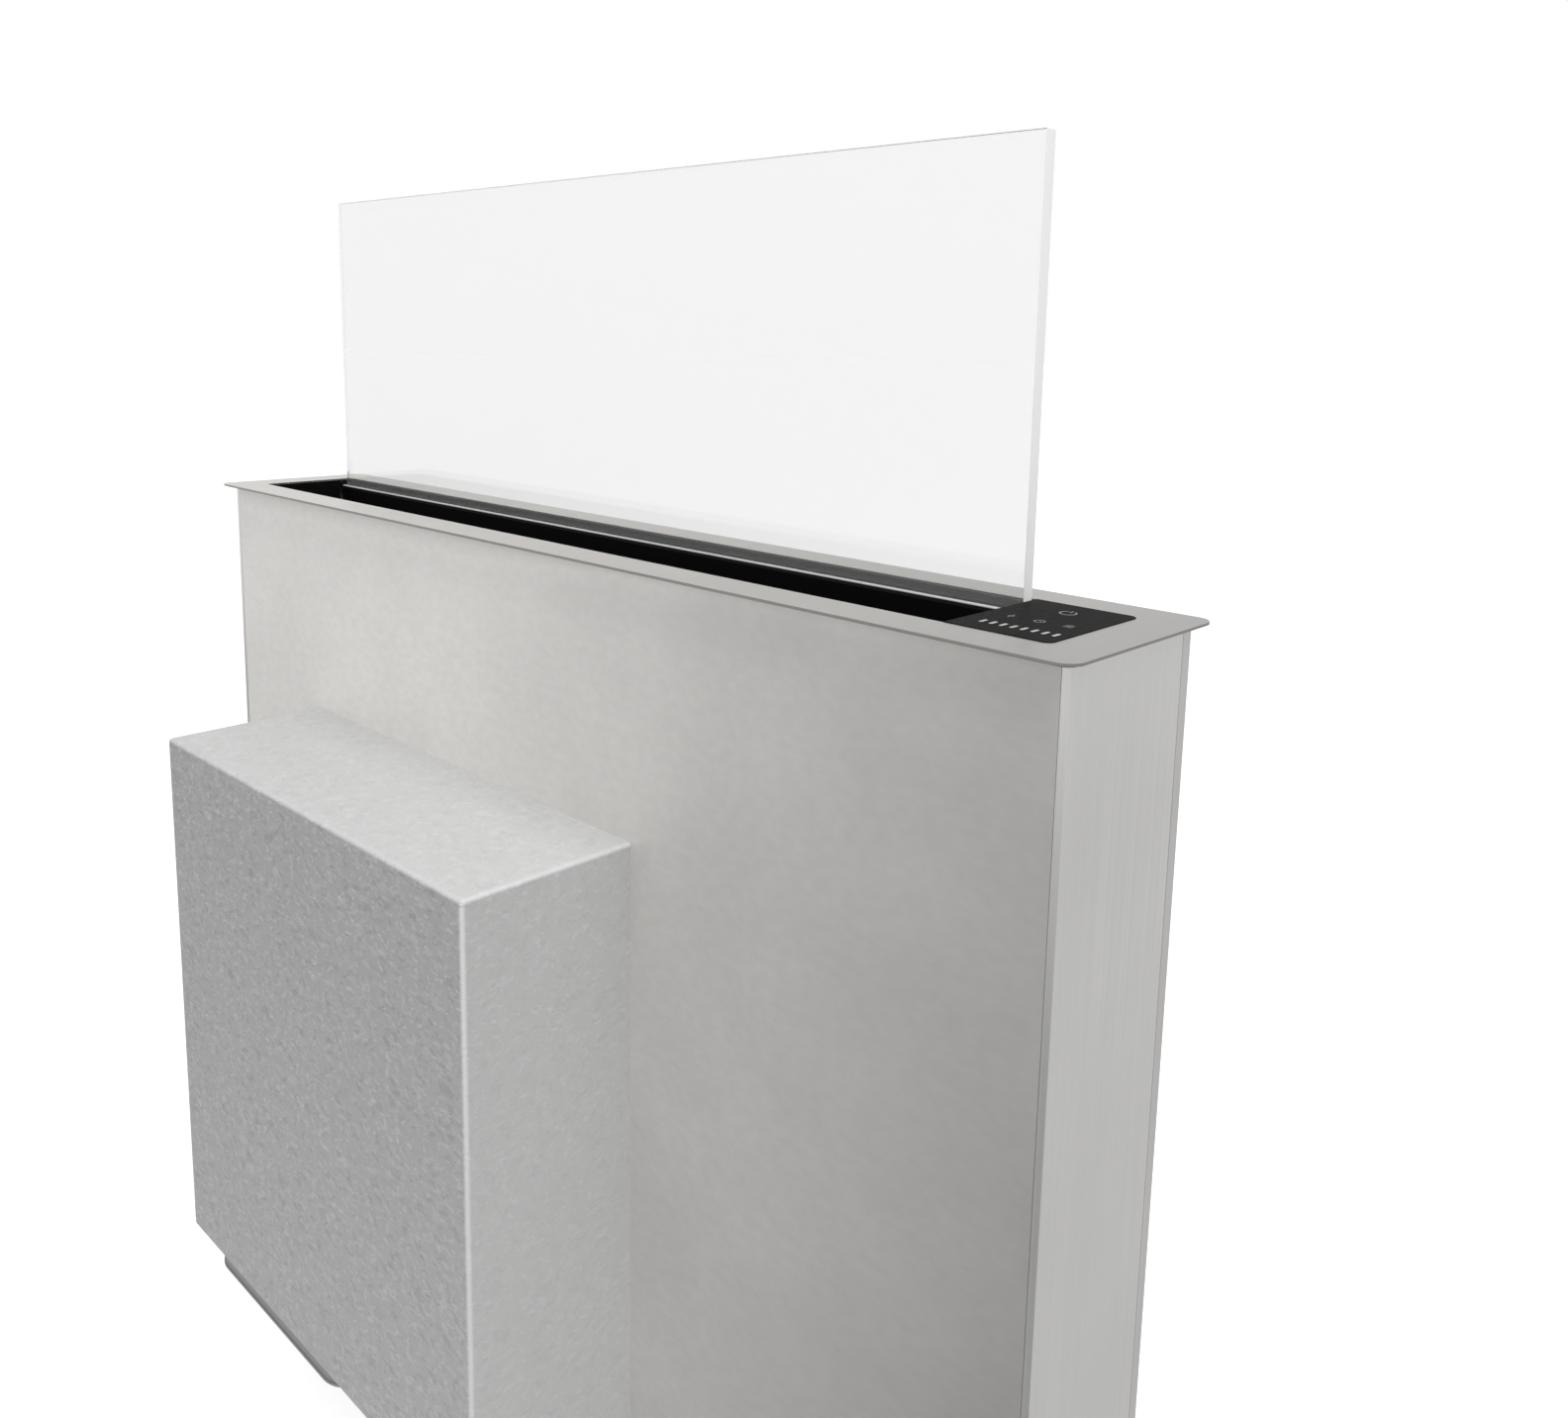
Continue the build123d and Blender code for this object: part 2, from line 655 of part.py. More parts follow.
def light_strip():
    """The diffuser of the lamp strip that lies along the foot of the glass."""
    section = rectangle(
        (CARRIER_FRONT, GLASS_FRONT - 0.1), (CARRIER_TOP - LIGHT_HEIGHT, CARRIER_TOP)
    )
    section = fillet(section.vertices().group_by(Axis.Y)[-1].sort_by(Axis.X)[0], 0.8)
    return along_x(section, CARRIER_LEFT, GLASS_RIGHT)


def slider(side, span):
    """A moulded block that runs on one guide rod; the upper one reaches to the carriage."""
    x = LIFT_SIDES[side]
    half = SLIDER_HALF_WIDTH[side]
    block = slab((x - half, x + half), (SLIDER_FRONT, SLIDER_REAR), span)
    block = fillet(block.edges().filter_by(Axis.Z).group_by(Axis.Y)[-1], SLIDER_CORNER)
    if span == SLIDER_UPPER:
        arm_z = (CARRIER_BOTTOM + 2, GLASS_FOOT - GASKET - 15)
        arm_x = (x + half, CARRIER_LEFT) if side == "left" else (GLASS_RIGHT, x - half)
        block += slab(arm_x, (CARRIER_FRONT, CARRIER_REAR), arm_z)
    block -= rod_along_z(ROD_RADIUS + RUNNING_GAP, span[0] - 1, span[1] + 1, x, ROD_Y)
    return block


def rack_section():
    """The toothed outline of a rack in the Y-Z plane, its teeth towards the pinion."""
    slope = math.tan(PRESSURE_ANGLE)
    half_tooth = RACK_PITCH / 4 - BACKLASH / 2
    pitch_line = SHAFT_Y + PITCH_RADIUS
    outline = []
    for tooth in range(-TEETH_PAST_ENDS, RACK_TEETH - TEETH_PAST_ENDS):
        z = SHAFT_Z + tooth * RACK_PITCH
        outline.append((pitch_line + DEDENDUM, z - half_tooth - DEDENDUM * slope))
        outline.append((pitch_line - ADDENDUM, z - half_tooth + ADDENDUM * slope))
        outline.append((pitch_line - ADDENDUM, z + half_tooth - ADDENDUM * slope))
        outline.append((pitch_line + DEDENDUM, z + half_tooth + DEDENDUM * slope))
    outline.append((SLIDER_FRONT, outline[-1][1]))
    outline.append((SLIDER_FRONT, outline[0][1]))
    return make_face(Polyline(*outline, close=True))


def rack(side):
    """The toothed bar that joins the two sliders of one side."""
    x = LIFT_SIDES[side]
    return along_x(rack_section(), x - RACK_WIDTH / 2, x + RACK_WIDTH / 2)


# ---------------------------------------------------------------- fixed guides and drive


def guide_rod(side):
    """One polished steel guide rod."""
    rod = rod_along_z(ROD_RADIUS, ROD_BOTTOM, ROD_TOP, LIFT_SIDES[side], ROD_Y)
    ends = rod.edges().filter_by(GeomType.CIRCLE)
    return chamfer(ends, 0.8)


def rod_holder(side, level):
    """A clamp block that fixes one end of a guide rod to the wall beside it."""
    x = LIFT_SIDES[side]
    wall_x = -INNER_X if side == "left" else PARTITION_X
    far_x = 2 * x - wall_x if side == "left" else x - HOLDER_HALF_DEPTH
    bottom = ROD_TOP - HOLDER_HEIGHT if level == "upper" else ROD_BOTTOM
    span = (bottom, bottom + HOLDER_HEIGHT)
    front = ROD_Y - HOLDER_HALF_DEPTH
    depth = (front, ROD_Y + HOLDER_HALF_DEPTH)
    block = slab((min(wall_x, far_x), max(wall_x, far_x)), depth, span)
    cut = (span[0] - 1, span[1] + 1)
    block -= rod_along_z(ROD_RADIUS, *cut, x, ROD_Y)
    slit_x = (x - HOLDER_SLIT / 2, x + HOLDER_SLIT / 2)
    return block - slab(slit_x, (front - 1, ROD_Y), cut)


def pinion_outline():
    """The involute outline of the pinion, thinned by the backlash."""
    base = PITCH_RADIUS * math.cos(PRESSURE_ANGLE)
    tip = PITCH_RADIUS + ADDENDUM
    root = PITCH_RADIUS - DEDENDUM
    steps = 4

    def involute(angle):
        return math.tan(angle) - angle

    def half_angle(radius):
        at_pitch = math.pi / (2 * PINION_TEETH) - BACKLASH / (2 * PITCH_RADIUS)
        return at_pitch + involute(PRESSURE_ANGLE) - involute(math.acos(min(1.0, base / radius)))

    flank = [(root, half_angle(base) - 0.02)]
    for step in range(steps + 1):
        radius = base + (tip - base) * step / steps
        flank.append((radius, half_angle(radius)))
    outline = []
    for tooth in range(PINION_TEETH):
        middle = 2 * math.pi * (tooth + 0.5) / PINION_TEETH
        right = [(r * math.cos(middle - a), r * math.sin(middle - a)) for r, a in flank]
        left = [(r * math.cos(middle + a), r * math.sin(middle + a)) for r, a in reversed(flank)]
        outline += right + left
    return make_face(Polyline(*outline, close=True))


def pinion(side):
    """One drive pinion with its hub, pressed on the cross shaft."""
    x = LIFT_SIDES[side]
    section = Pos(SHAFT_Y, SHAFT_Z) * (pinion_outline() - Circle(SHAFT_RADIUS))
    wheel = along_x(section, x - PINION_WIDTH / 2, x + PINION_WIDTH / 2)
    before = PINION_WIDTH / 2 + PINION_HUB_LENGTH
    hub_start = x + PINION_WIDTH / 2 if side == "left" else x - before
    hub = Pos(SHAFT_Y, SHAFT_Z) * (Circle(PINION_HUB_RADIUS) - Circle(SHAFT_RADIUS))
    return wheel + along_x(hub, hub_start, hub_start + PINION_HUB_LENGTH)


def drive_shaft():
    """The cross shaft that keeps both racks level."""
    shaft_end = PARTITION_X + GEARBOX_BORE
    shaft = rod_along_x(SHAFT_RADIUS, -INNER_X + 0.6, shaft_end, SHAFT_Y, SHAFT_Z)
    return chamfer(shaft.edges().filter_by(GeomType.CIRCLE), 0.6)


def shaft_bearing(side):
    """A flanged bush for the cross shaft, on the side channel or on the partition."""
    bore = Circle(SHAFT_RADIUS + RUNNING_GAP)
    flange_outline = RectangleRounded(BUSH_FLANGE_DEPTH, BUSH_FLANGE_HEIGHT, BUSH_FLANGE_CORNER)
    ring = Pos(SHAFT_Y, SHAFT_Z) * (Circle(BUSH_RADIUS) - bore)
    flange = Pos(SHAFT_Y, SHAFT_Z) * (flange_outline - bore)
    if side == "left":
        bush = along_x(ring, -INNER_X, -INNER_X + BUSH_LENGTH)
        return bush + along_x(flange, -INNER_X, -INNER_X + BUSH_SHEET)
    bush = along_x(ring, PARTITION_X - BUSH_LENGTH - BUSH_SHEET, PARTITION_X)
    return bush + along_x(flange, PARTITION_X - BUSH_SHEET, PARTITION_X)


def lift_gearbox():
    """The worm gearbox on the far side of the partition, with the bore that takes the shaft."""
    start = PARTITION_X + PARTITION_SHEET
    outline = RectangleRounded(GEARBOX_DEPTH, GEARBOX_HEIGHT, GEARBOX_CORNER)
    case = along_x(Pos(SHAFT_Y, SHAFT_Z) * outline, start, start + GEARBOX_LENGTH)
    case = chamfer(case.faces().sort_by(Axis.X)[-1].edges(), CAST_EDGE)
    bore_end = start + GEARBOX_BORE + 1
    bore = rod_along_x(SHAFT_RADIUS + RUNNING_GAP, start - 1, bore_end, SHAFT_Y, SHAFT_Z)
    return case - bore


def lift_motor():
    """The round motor can that hangs below the gearbox."""
    x = PARTITION_X + PARTITION_SHEET + MOTOR_RADIUS + 1
    neck = SHAFT_Z - GEARBOX_HEIGHT / 2
    top = neck - MOTOR_NECK
    bottom = top - MOTOR_LENGTH
    can = rod_along_z(MOTOR_RADIUS, bottom, top, x, SHAFT_Y)
    can = chamfer(can.faces().sort_by(Axis.Z)[0].edges(), CAST_EDGE)
    can += rod_along_z(MOTOR_RADIUS * 2 / 3, top, neck, x, SHAFT_Y)
    can += rod_along_z(MOTOR_RADIUS / 3, bottom - MOTOR_NECK, bottom, x, SHAFT_Y)
    return can


def limit_switches():
    """The two end-of-travel switches that the right-hand rack passes, each with its lever."""
    switches = []
    body_x = (PARTITION_X - SWITCH_DEPTH, PARTITION_X)
    lever_x = (PARTITION_X - 5, PARTITION_X - 2)
    lever_y = (SWITCH_Y[1], SWITCH_Y[1] + SWITCH_LEVER)
    for z in SWITCH_Z:
        body = slab(body_x, SWITCH_Y, (z - SWITCH_HALF_HEIGHT, z + SWITCH_HALF_HEIGHT))
        lever = slab(lever_x, lever_y, (z - SWITCH_HALF_HEIGHT + 2, z + 2))
        switches.append(body + lever)
    return Compound(children=[solid for switch in switches for solid in switch.solids()])


# ---------------------------------------------------------------- grease filters


def filter_span(side):
    """The X limits of one filter cassette."""
    middle = (SLOT_LEFT + PANEL_LEFT) / 2
    if side == "left":
        return SLOT_LEFT + FILTER_GAP, middle - FILTER_GAP / 3
    return middle + FILTER_GAP / 3, PANEL_LEFT - FILTER_GAP


def filter_wedge(inset):
    """The V outline of a cassette below its rim, drawn in by an inset on every side."""
    half_keel = (FILTER_KEEL - inset) / 2
    bottom = LINER_BOTTOM - FILTER_DROP + inset
    return make_face(
        Polyline(
            (FILTER_FRONT + FILTER_RIM + inset, LINER_BOTTOM),
            (FILTER_MIDDLE - half_keel, bottom),
            (FILTER_MIDDLE + half_keel, bottom),
            (FILTER_REAR - FILTER_RIM - inset, LINER_BOTTOM),
            close=True,
        )
    )


def filter_frame(side):
    """The cassette's folded frame: a flat rim, two end plates, a keel and a lifting strap."""
    x = filter_span(side)
    mouth_x = (x[0] + FILTER_RIM, x[1] - FILTER_RIM)
    mouth_y = (FILTER_FRONT + FILTER_RIM, FILTER_REAR - FILTER_RIM)
    rim = rectangle(x, (FILTER_FRONT, FILTER_REAR))
    mouth = rectangle(mouth_x, mouth_y)
    frame = along_z(rim - mouth, LINER_BOTTOM, LINER_BOTTOM + FILTER_SHEET)
    for start in (mouth_x[0] - FILTER_SHEET, mouth_x[1]):
        frame += along_x(filter_wedge(0), start, start + FILTER_SHEET)
    keel_x = (mouth_x[0] - FILTER_SHEET, mouth_x[1] + FILTER_SHEET)
    keel_y = (FILTER_MIDDLE - FILTER_KEEL / 2, FILTER_MIDDLE + FILTER_KEEL / 2)
    keel_top = LINER_BOTTOM - FILTER_DROP
    frame += slab(keel_x, keel_y, (keel_top - FILTER_SHEET, keel_top))
    foot_z = LINER_BOTTOM + FILTER_SHEET / 2
    strap = folded_sheet(
        [
            (FILTER_FRONT + STRAP_FOOT_INSET, foot_z),
            (FILTER_FRONT + STRAP_BEND_INSET, LINER_BOTTOM + STRAP_RISE),
            (FILTER_REAR - STRAP_BEND_INSET, LINER_BOTTOM + STRAP_RISE),
            (FILTER_REAR - STRAP_FOOT_INSET, foot_z),
        ],
        STRAP_SHEET,
    )
    strap_x = (x[0] + x[1]) / 2
    handle = along_x(strap, strap_x - STRAP_WIDTH / 2, strap_x + STRAP_WIDTH / 2)
    return frame + handle - along_z(rim - mouth, LINER_BOTTOM - 5, LINER_BOTTOM)


def filter_mesh(side):
    """The two slanted packs of woven mesh in a cassette."""
    x = filter_span(side)
    cap = rectangle((FILTER_FRONT, FILTER_REAR), (LINER_BOTTOM - 0.01, LINER_BOTTOM + 1))
    pack = filter_wedge(0) - filter_wedge(MESH_THICKNESS) - cap
    return along_x(pack, x[0] + FILTER_RIM, x[1] - FILTER_RIM)


# ---------------------------------------------------------------- blower


def blower_box():
    """The textured sheet box on the front of the body, open at the back, with an inner flange."""
    outside = slab((BOX_LEFT, BOX_RIGHT), (BOX_FRONT, -HALF_DEPTH), (BOX_BOTTOM, BOX_TOP))
    rounded = [e for e in outside.edges() if e.center().Y < -HALF_DEPTH - 0.1]
    box = fillet(rounded, BOX_EDGE)
    x = (BOX_LEFT + SHEET, BOX_RIGHT - SHEET)
    z = (BOX_BOTTOM + SHEET, BOX_TOP - SHEET)
    box -= slab(x, (BOX_FRONT + SHEET, -HALF_DEPTH - SHEET), z)
    opening_x = (x[0] + BOX_FLANGE, x[1] - BOX_FLANGE)
    opening_z = (z[0] + BOX_FLANGE, z[1] - BOX_FLANGE)
    box -= slab(opening_x, (-HALF_DEPTH - 2 * SHEET, -HALF_DEPTH + 1), opening_z)
    collar = RectangleRounded(COLLAR_LENGTH, COLLAR_DEPTH, COLLAR_CORNER)
    hole = Pos(COLLAR_X, COLLAR_Y) * offset(collar, amount=COLLAR_CLEARANCE)
    return box - along_z(hole, BOX_BOTTOM - 1, BOX_BOTTOM + SHEET + 1)


def scroll_outline():
    """The air space of the scroll in the X-Z plane: three quarter arcs that step outwards."""
    step = SCROLL_STEP
    radius = TONGUE_DISTANCE + step / 2
    x = FAN_X + step / 2
    z = FAN_Z + step / 2
    outlet_z = COLLAR_SEAT + SCROLL_SHEET
    left_x = x - radius - 3 * step
    tongue = (x, z - radius)
    first = CenterArc((x, z), radius, 270, 90)
    second = CenterArc((x - step, z), radius + step, 0, 90)
    third = CenterArc((x - step, z - step), radius + 2 * step, 90, 90)
    walls = Polyline((left_x, z - step), (left_x, outlet_z), (x, outlet_z), tongue)
    outline = make_face(Curve() + [first, second, third, walls])
    nose = outline.vertices().sort_by_distance((*tongue, 0))[0]
    return fillet(nose, TONGUE_RADIUS)


def scroll_housing():
    """The spiral fan housing with its inlet and motor holes and its open outlet."""
    air = scroll_outline()
    shell = offset(air, amount=SCROLL_SHEET, kind=Kind.INTERSECTION)
    housing = along_y(shell, SCROLL_FRONT, SCROLL_REAR)
    housing -= along_y(air, SCROLL_FRONT + SCROLL_SHEET, SCROLL_REAR - SCROLL_SHEET)
    outlet_z = COLLAR_SEAT + SCROLL_SHEET
    below = (outlet_z - 4 * SCROLL_SHEET, outlet_z + 0.01)
    housing -= slab((BOX_LEFT, BOX_RIGHT), (SCROLL_FRONT - 1, SCROLL_REAR + 1), below)
    housing -= rod_along_y(INLET_RADIUS + 8, SCROLL_REAR - 3, SCROLL_REAR + 1, FAN_X, FAN_Z)
    housing -= rod_along_y(ROTOR_RADIUS - 2, SCROLL_FRONT - 1, SCROLL_FRONT + 3, FAN_X, FAN_Z)
    return housing - rod_along_x(FLAP_ROD_RADIUS, BOX_LEFT, BOX_RIGHT, COLLAR_Y, FLAP_ROD_Z)


def inlet_ring():
    """The flared ring that leads air from the body into the fan wheel."""
    flange_y = -INNER_Y + INLET_WALL / 2
    flare = INLET_HOLE - INLET_RADIUS
    # The radius is drawn along X and the fan's axis along Y, then turned about that axis.
    section = folded_sheet(
        [
            (INLET_HOLE + INLET_FLANGE, flange_y),
            (INLET_HOLE - INLET_WALL, flange_y),
            (INLET_RADIUS + flare / 4, flange_y - flare / 3),
            (INLET_RADIUS, flange_y - flare),
            (INLET_RADIUS, WHEEL_REAR - 3),
        ],
        INLET_WALL,
    )
    ring = revolve(Plane.XY * section, axis=Axis.Y)
    return Pos(FAN_X, 0, FAN_Z) * ring


def impeller():
    """The forward-curved fan wheel: a back plate, a shroud ring and curved blades."""
    hub = Circle(WHEEL_RADIUS) - Circle(ROTOR_RADIUS)
    wheel = along_y(hub, WHEEL_FRONT, WHEEL_FRONT + WHEEL_PLATE)
    shroud = Circle(WHEEL_RADIUS) - Circle(WHEEL_EYE - 1.5)
    wheel += along_y(shroud, WHEEL_REAR - WHEEL_PLATE, WHEEL_REAR)
    inner = Vector(WHEEL_EYE, 0)
    outer = Vector(BLADE_TIP, 0).rotate(Axis.Z, BLADE_SWEEP)
    curve = TangentArc(inner, outer, tangent=Vector(*BLADE_ENTRY))
    line = Polyline(*[curve @ (step / BLADE_FLATS) for step in range(BLADE_FLATS + 1)])
    blade = trace(line, line_width=BLADE_THICKNESS)
    blades = PolarLocations(0, BLADES) * blade
    span = (WHEEL_FRONT + WHEEL_PLATE / 2, WHEEL_REAR - WHEEL_PLATE / 2)
    wheel += along_y(Sketch() + blades, *span)
    return Pos(FAN_X, 0, FAN_Z) * wheel


def motor_rotor():
    """The rotor can of the outer-rotor motor, with its shaft, inside the fan wheel."""
    closed_y = WHEEL_FRONT + ROTOR_DEPTH
    floor_y = closed_y - ROTOR_WALL
    rotor = along_y(Circle(ROTOR_RADIUS), WHEEL_FRONT - 1, closed_y)
    rotor = chamfer(rotor.faces().sort_by(Axis.Y)[-1].edges(), ROTOR_WALL)
    rotor -= along_y(Circle(ROTOR_RADIUS - ROTOR_WALL), WHEEL_FRONT - 2, floor_y)
    rotor += along_y(Circle(SHAFT_RADIUS), WHEEL_FRONT - 4, floor_y)
    return Pos(FAN_X, 0, FAN_Z) * rotor


def motor_stator():
    """The fixed half of the fan motor: mounting flange, windings core and bearing bore."""
    flange_y = SCROLL_FRONT - ROTOR_WALL
    stator = along_y(Circle(STATOR_FLANGE_RADIUS), flange_y, SCROLL_FRONT)
    neck_y = SCROLL_FRONT + STATOR_NECK
    rotor_end = WHEEL_FRONT + ROTOR_DEPTH
    stator += along_y(Circle(STATOR_NECK_RADIUS), SCROLL_FRONT, neck_y)
    stator += along_y(Circle(STATOR_CORE_RADIUS), neck_y, rotor_end - STATOR_END_GAP)
    bore = along_y(Circle(SHAFT_RADIUS + RUNNING_GAP), flange_y - 1, rotor_end)
    return Pos(FAN_X, 0, FAN_Z) * (stator - bore)


def blower_screws():
    """Hexagon screws through the inlet ring's flange and along both sides of the blower box."""
    places = []
    circle = INLET_HOLE + INLET_FLANGE / 2
    for angle in range(45, 405, 90):
        x = FAN_X + circle * math.cos(math.radians(angle))
        z = FAN_Z + circle * math.sin(math.radians(angle))
        places.append((x, z, -INNER_Y + INLET_WALL))
    middle = (BOX_BOTTOM + BOX_TOP) / 2
    for x in (BOX_LEFT + BOX_SCREW_INSET_X, BOX_RIGHT - BOX_SCREW_INSET_X):
        for z in (BOX_BOTTOM + BOX_SCREW_INSET_Z, middle, BOX_TOP - BOX_SCREW_INSET_Z):
            places.append((x, z, -INNER_Y))
    screws = []
    for x, z, seat in places:
        hexagon = Pos(x, z) * RegularPolygon(BLOWER_SCREW_HEAD, 6)
        screws.append(along_y(hexagon, seat, seat + BLOWER_SCREW_HEIGHT))
    return Compound(children=[solid for screw in screws for solid in screw.solids()])


# ---------------------------------------------------------------- outlet


def outlet_collar():
    """The flat-duct collar below the blower box, with a flange that rests inside the box."""
    outside = RectangleRounded(COLLAR_LENGTH, COLLAR_DEPTH, COLLAR_CORNER)
    inside = offset(outside, amount=-COLLAR_WALL)
    flange = RectangleRounded(COLLAR_FLANGE_LENGTH, COLLAR_FLANGE_DEPTH, COLLAR_FLANGE_CORNER)
    collar = along_z(outside - inside, COLLAR_BOTTOM, COLLAR_SEAT)
    collar += along_z(flange - inside, COLLAR_SEAT, COLLAR_SEAT + COLLAR_FLANGE_HEIGHT)
    bead = offset(outside, amount=COLLAR_BEAD) - inside
    collar += along_z(bead, COLLAR_BOTTOM, COLLAR_BOTTOM + COLLAR_BEAD_HEIGHT)
    return Pos(COLLAR_X, COLLAR_Y, 0) * collar


def damper_rod():
    """The hinge rod across the outlet that carries both flaps."""
    half = COLLAR_LENGTH / 2
    return rod_along_x(FLAP_ROD_RADIUS, COLLAR_X - half, COLLAR_X + half, COLLAR_Y, FLAP_ROD_Z)


def damper_flap(side):
    """One of the two flaps, with rounded corners and two knuckles round the rod."""
    half_length = COLLAR_LENGTH / 2 - FLAP_END_GAP
    width = COLLAR_DEPTH / 2 - FLAP_SIDE_GAP
    own, other = FLAP_KNUCKLES if side == "front" else FLAP_KNUCKLES[::-1]
    plate = rectangle((-half_length, half_length), (FLAP_INNER_EDGE, width))
    plate = fillet(plate.vertices().group_by(Axis.Y)[-1], COLLAR_CORNER + 1)
    for start in own:
        plate += rectangle((start, start + FLAP_KNUCKLE_LENGTH), (0, FLAP_INNER_EDGE + 1))
    for start in other:
        notch_x = (start - 1, start + FLAP_KNUCKLE_LENGTH + 1)
        plate -= rectangle(notch_x, (0, FLAP_INNER_EDGE + 0.6))
    level = FLAP_ROD_Z - FLAP_THICKNESS / 2
    flap = along_z(plate, level, level + FLAP_THICKNESS)
    for start in own:
        knuckle_end = start + FLAP_KNUCKLE_LENGTH
        flap += rod_along_x(FLAP_KNUCKLE_RADIUS, start, knuckle_end, 0, FLAP_ROD_Z)
    hole = FLAP_ROD_RADIUS + RUNNING_GAP
    flap -= rod_along_x(hole, -half_length, half_length, 0, FLAP_ROD_Z)
    if side == "front":
        flap = mirror(flap, about=Plane.XZ)
    return Pos(COLLAR_X, COLLAR_Y, 0) * flap


# ---------------------------------------------------------------- electrics


def electronics_box():
    """The power and control unit in the right-hand bay, with its lid and cable sockets."""
    x = (PARTITION_X + 2 * PARTITION_SHEET, INNER_X - 2 * UNIT_LID)
    unit = fillet(slab(x, UNIT_Y, UNIT_Z).edges().filter_by(Axis.X), UNIT_CORNER)
    lid_y = (UNIT_Y[0] + 2, UNIT_Y[1] - 2)
    lid_z = (UNIT_Z[0] + 2, UNIT_Z[1] - 2)
    unit += slab((x[1], x[1] + UNIT_LID), lid_y, lid_z)
    socket_x = (x[0] + 16, x[0] + 32)
    socket_z = (UNIT_Z[0] - UNIT_SOCKET_DEPTH, UNIT_Z[0])
    half = UNIT_SOCKET_WIDTH / 2
    for y in UNIT_SOCKET_Y:
        unit += slab(socket_x, (y - half, y + half), socket_z)
    return unit


def cable_gland():
    """The mains entry through the front panel, left empty."""
    nut = RegularPolygon(GLAND_NUT_RADIUS, 6)
    outer = -HALF_DEPTH
    inner = outer + SHEET
    mouth = outer - GLAND_OUTER_LENGTH
    end = inner + GLAND_INNER_LENGTH
    gland = along_y(nut, outer - GLAND_NUT_LENGTH, outer)
    gland += along_y(Circle(GLAND_RADIUS), mouth, outer - GLAND_NUT_LENGTH)
    gland += along_y(Circle(GLAND_RADIUS - 0.1), outer, end)
    gland += along_y(nut, inner, inner + GLAND_LOCKNUT_LENGTH)
    gland -= along_y(Circle(GLAND_BORE), mouth - 1, end + 1)
    return Pos(GLAND_X, 0, GLAND_Z) * gland


# ---------------------------------------------------------------- assembly

nodes = {
    "frame_plate": frame_plate(),
    "worktop_seal": worktop_seal(),
    "slot_liner": slot_liner(),
    "rear_liner": rear_liner(),
    "filter_rail": filter_rail(),
    "control_panel": control_panel(),
    "control_housing": control_housing(),
    "control_board": control_board(),
    "front_panel": front_panel(),
    "rear_panel": rear_panel(),
    "bottom_plate": bottom_plate(),
    "partition_wall": partition_wall(),
    "foot_bolts": foot_bolts(),
    "rear_screws": rear_screws(),
    "glass_pane": glass_pane(),
    "glass_gasket": glass_gasket(),
    "carriage_profile": carriage_profile(),
    "light_strip": light_strip(),
    "drive_shaft": drive_shaft(),
    "lift_gearbox": lift_gearbox(),
    "lift_motor": lift_motor(),
    "limit_switches": limit_switches(),
    "blower_box": blower_box(),
    "scroll_housing": scroll_housing(),
    "inlet_ring": inlet_ring(),
    "impeller": impeller(),
    "motor_rotor": motor_rotor(),
    "motor_stator": motor_stator(),
    "blower_screws": blower_screws(),
    "outlet_collar": outlet_collar(),
    "damper_rod": damper_rod(),
    "electronics_box": electronics_box(),
    "cable_gland": cable_gland(),
}

for side in LIFT_SIDES:
    nodes[f"side_channel_{side}"] = side_channel(side)
    nodes[f"foot_{side}"] = foot(side)
    nodes[f"slider_{side}_upper"] = slider(side, SLIDER_UPPER)
    nodes[f"slider_{side}_lower"] = slider(side, SLIDER_LOWER)
    nodes[f"rack_{side}"] = rack(side)
    nodes[f"pinion_{side}"] = pinion(side)
    nodes[f"shaft_bearing_{side}"] = shaft_bearing(side)
    nodes[f"guide_rod_{side}"] = guide_rod(side)
    nodes[f"filter_frame_{side}"] = filter_frame(side)
    nodes[f"filter_mesh_{side}"] = filter_mesh(side)
    for level in ("upper", "lower"):
        nodes[f"rod_holder_{side}_{level}"] = rod_holder(side, level)

for side in ("front", "rear"):
    nodes[f"damper_flap_{side}"] = damper_flap(side)

os.makedirs("parts", exist_ok=True)
for name, shape in nodes.items():
    export_step(shape, f"parts/{name}.step")
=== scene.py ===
"""Looks of the pop-up downdraft vent: its finishes, its fine pieces and the studio round it.

Lengths are metres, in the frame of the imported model: +X to the right as the cook sees it,
+Y away from the cook, +Z up, with the origin in the middle of the worktop cut-out.
"""

import logging
import math
from dataclasses import dataclass, field
from enum import Enum

import bmesh
import bpy
from mathutils import Euler, Matrix, Vector


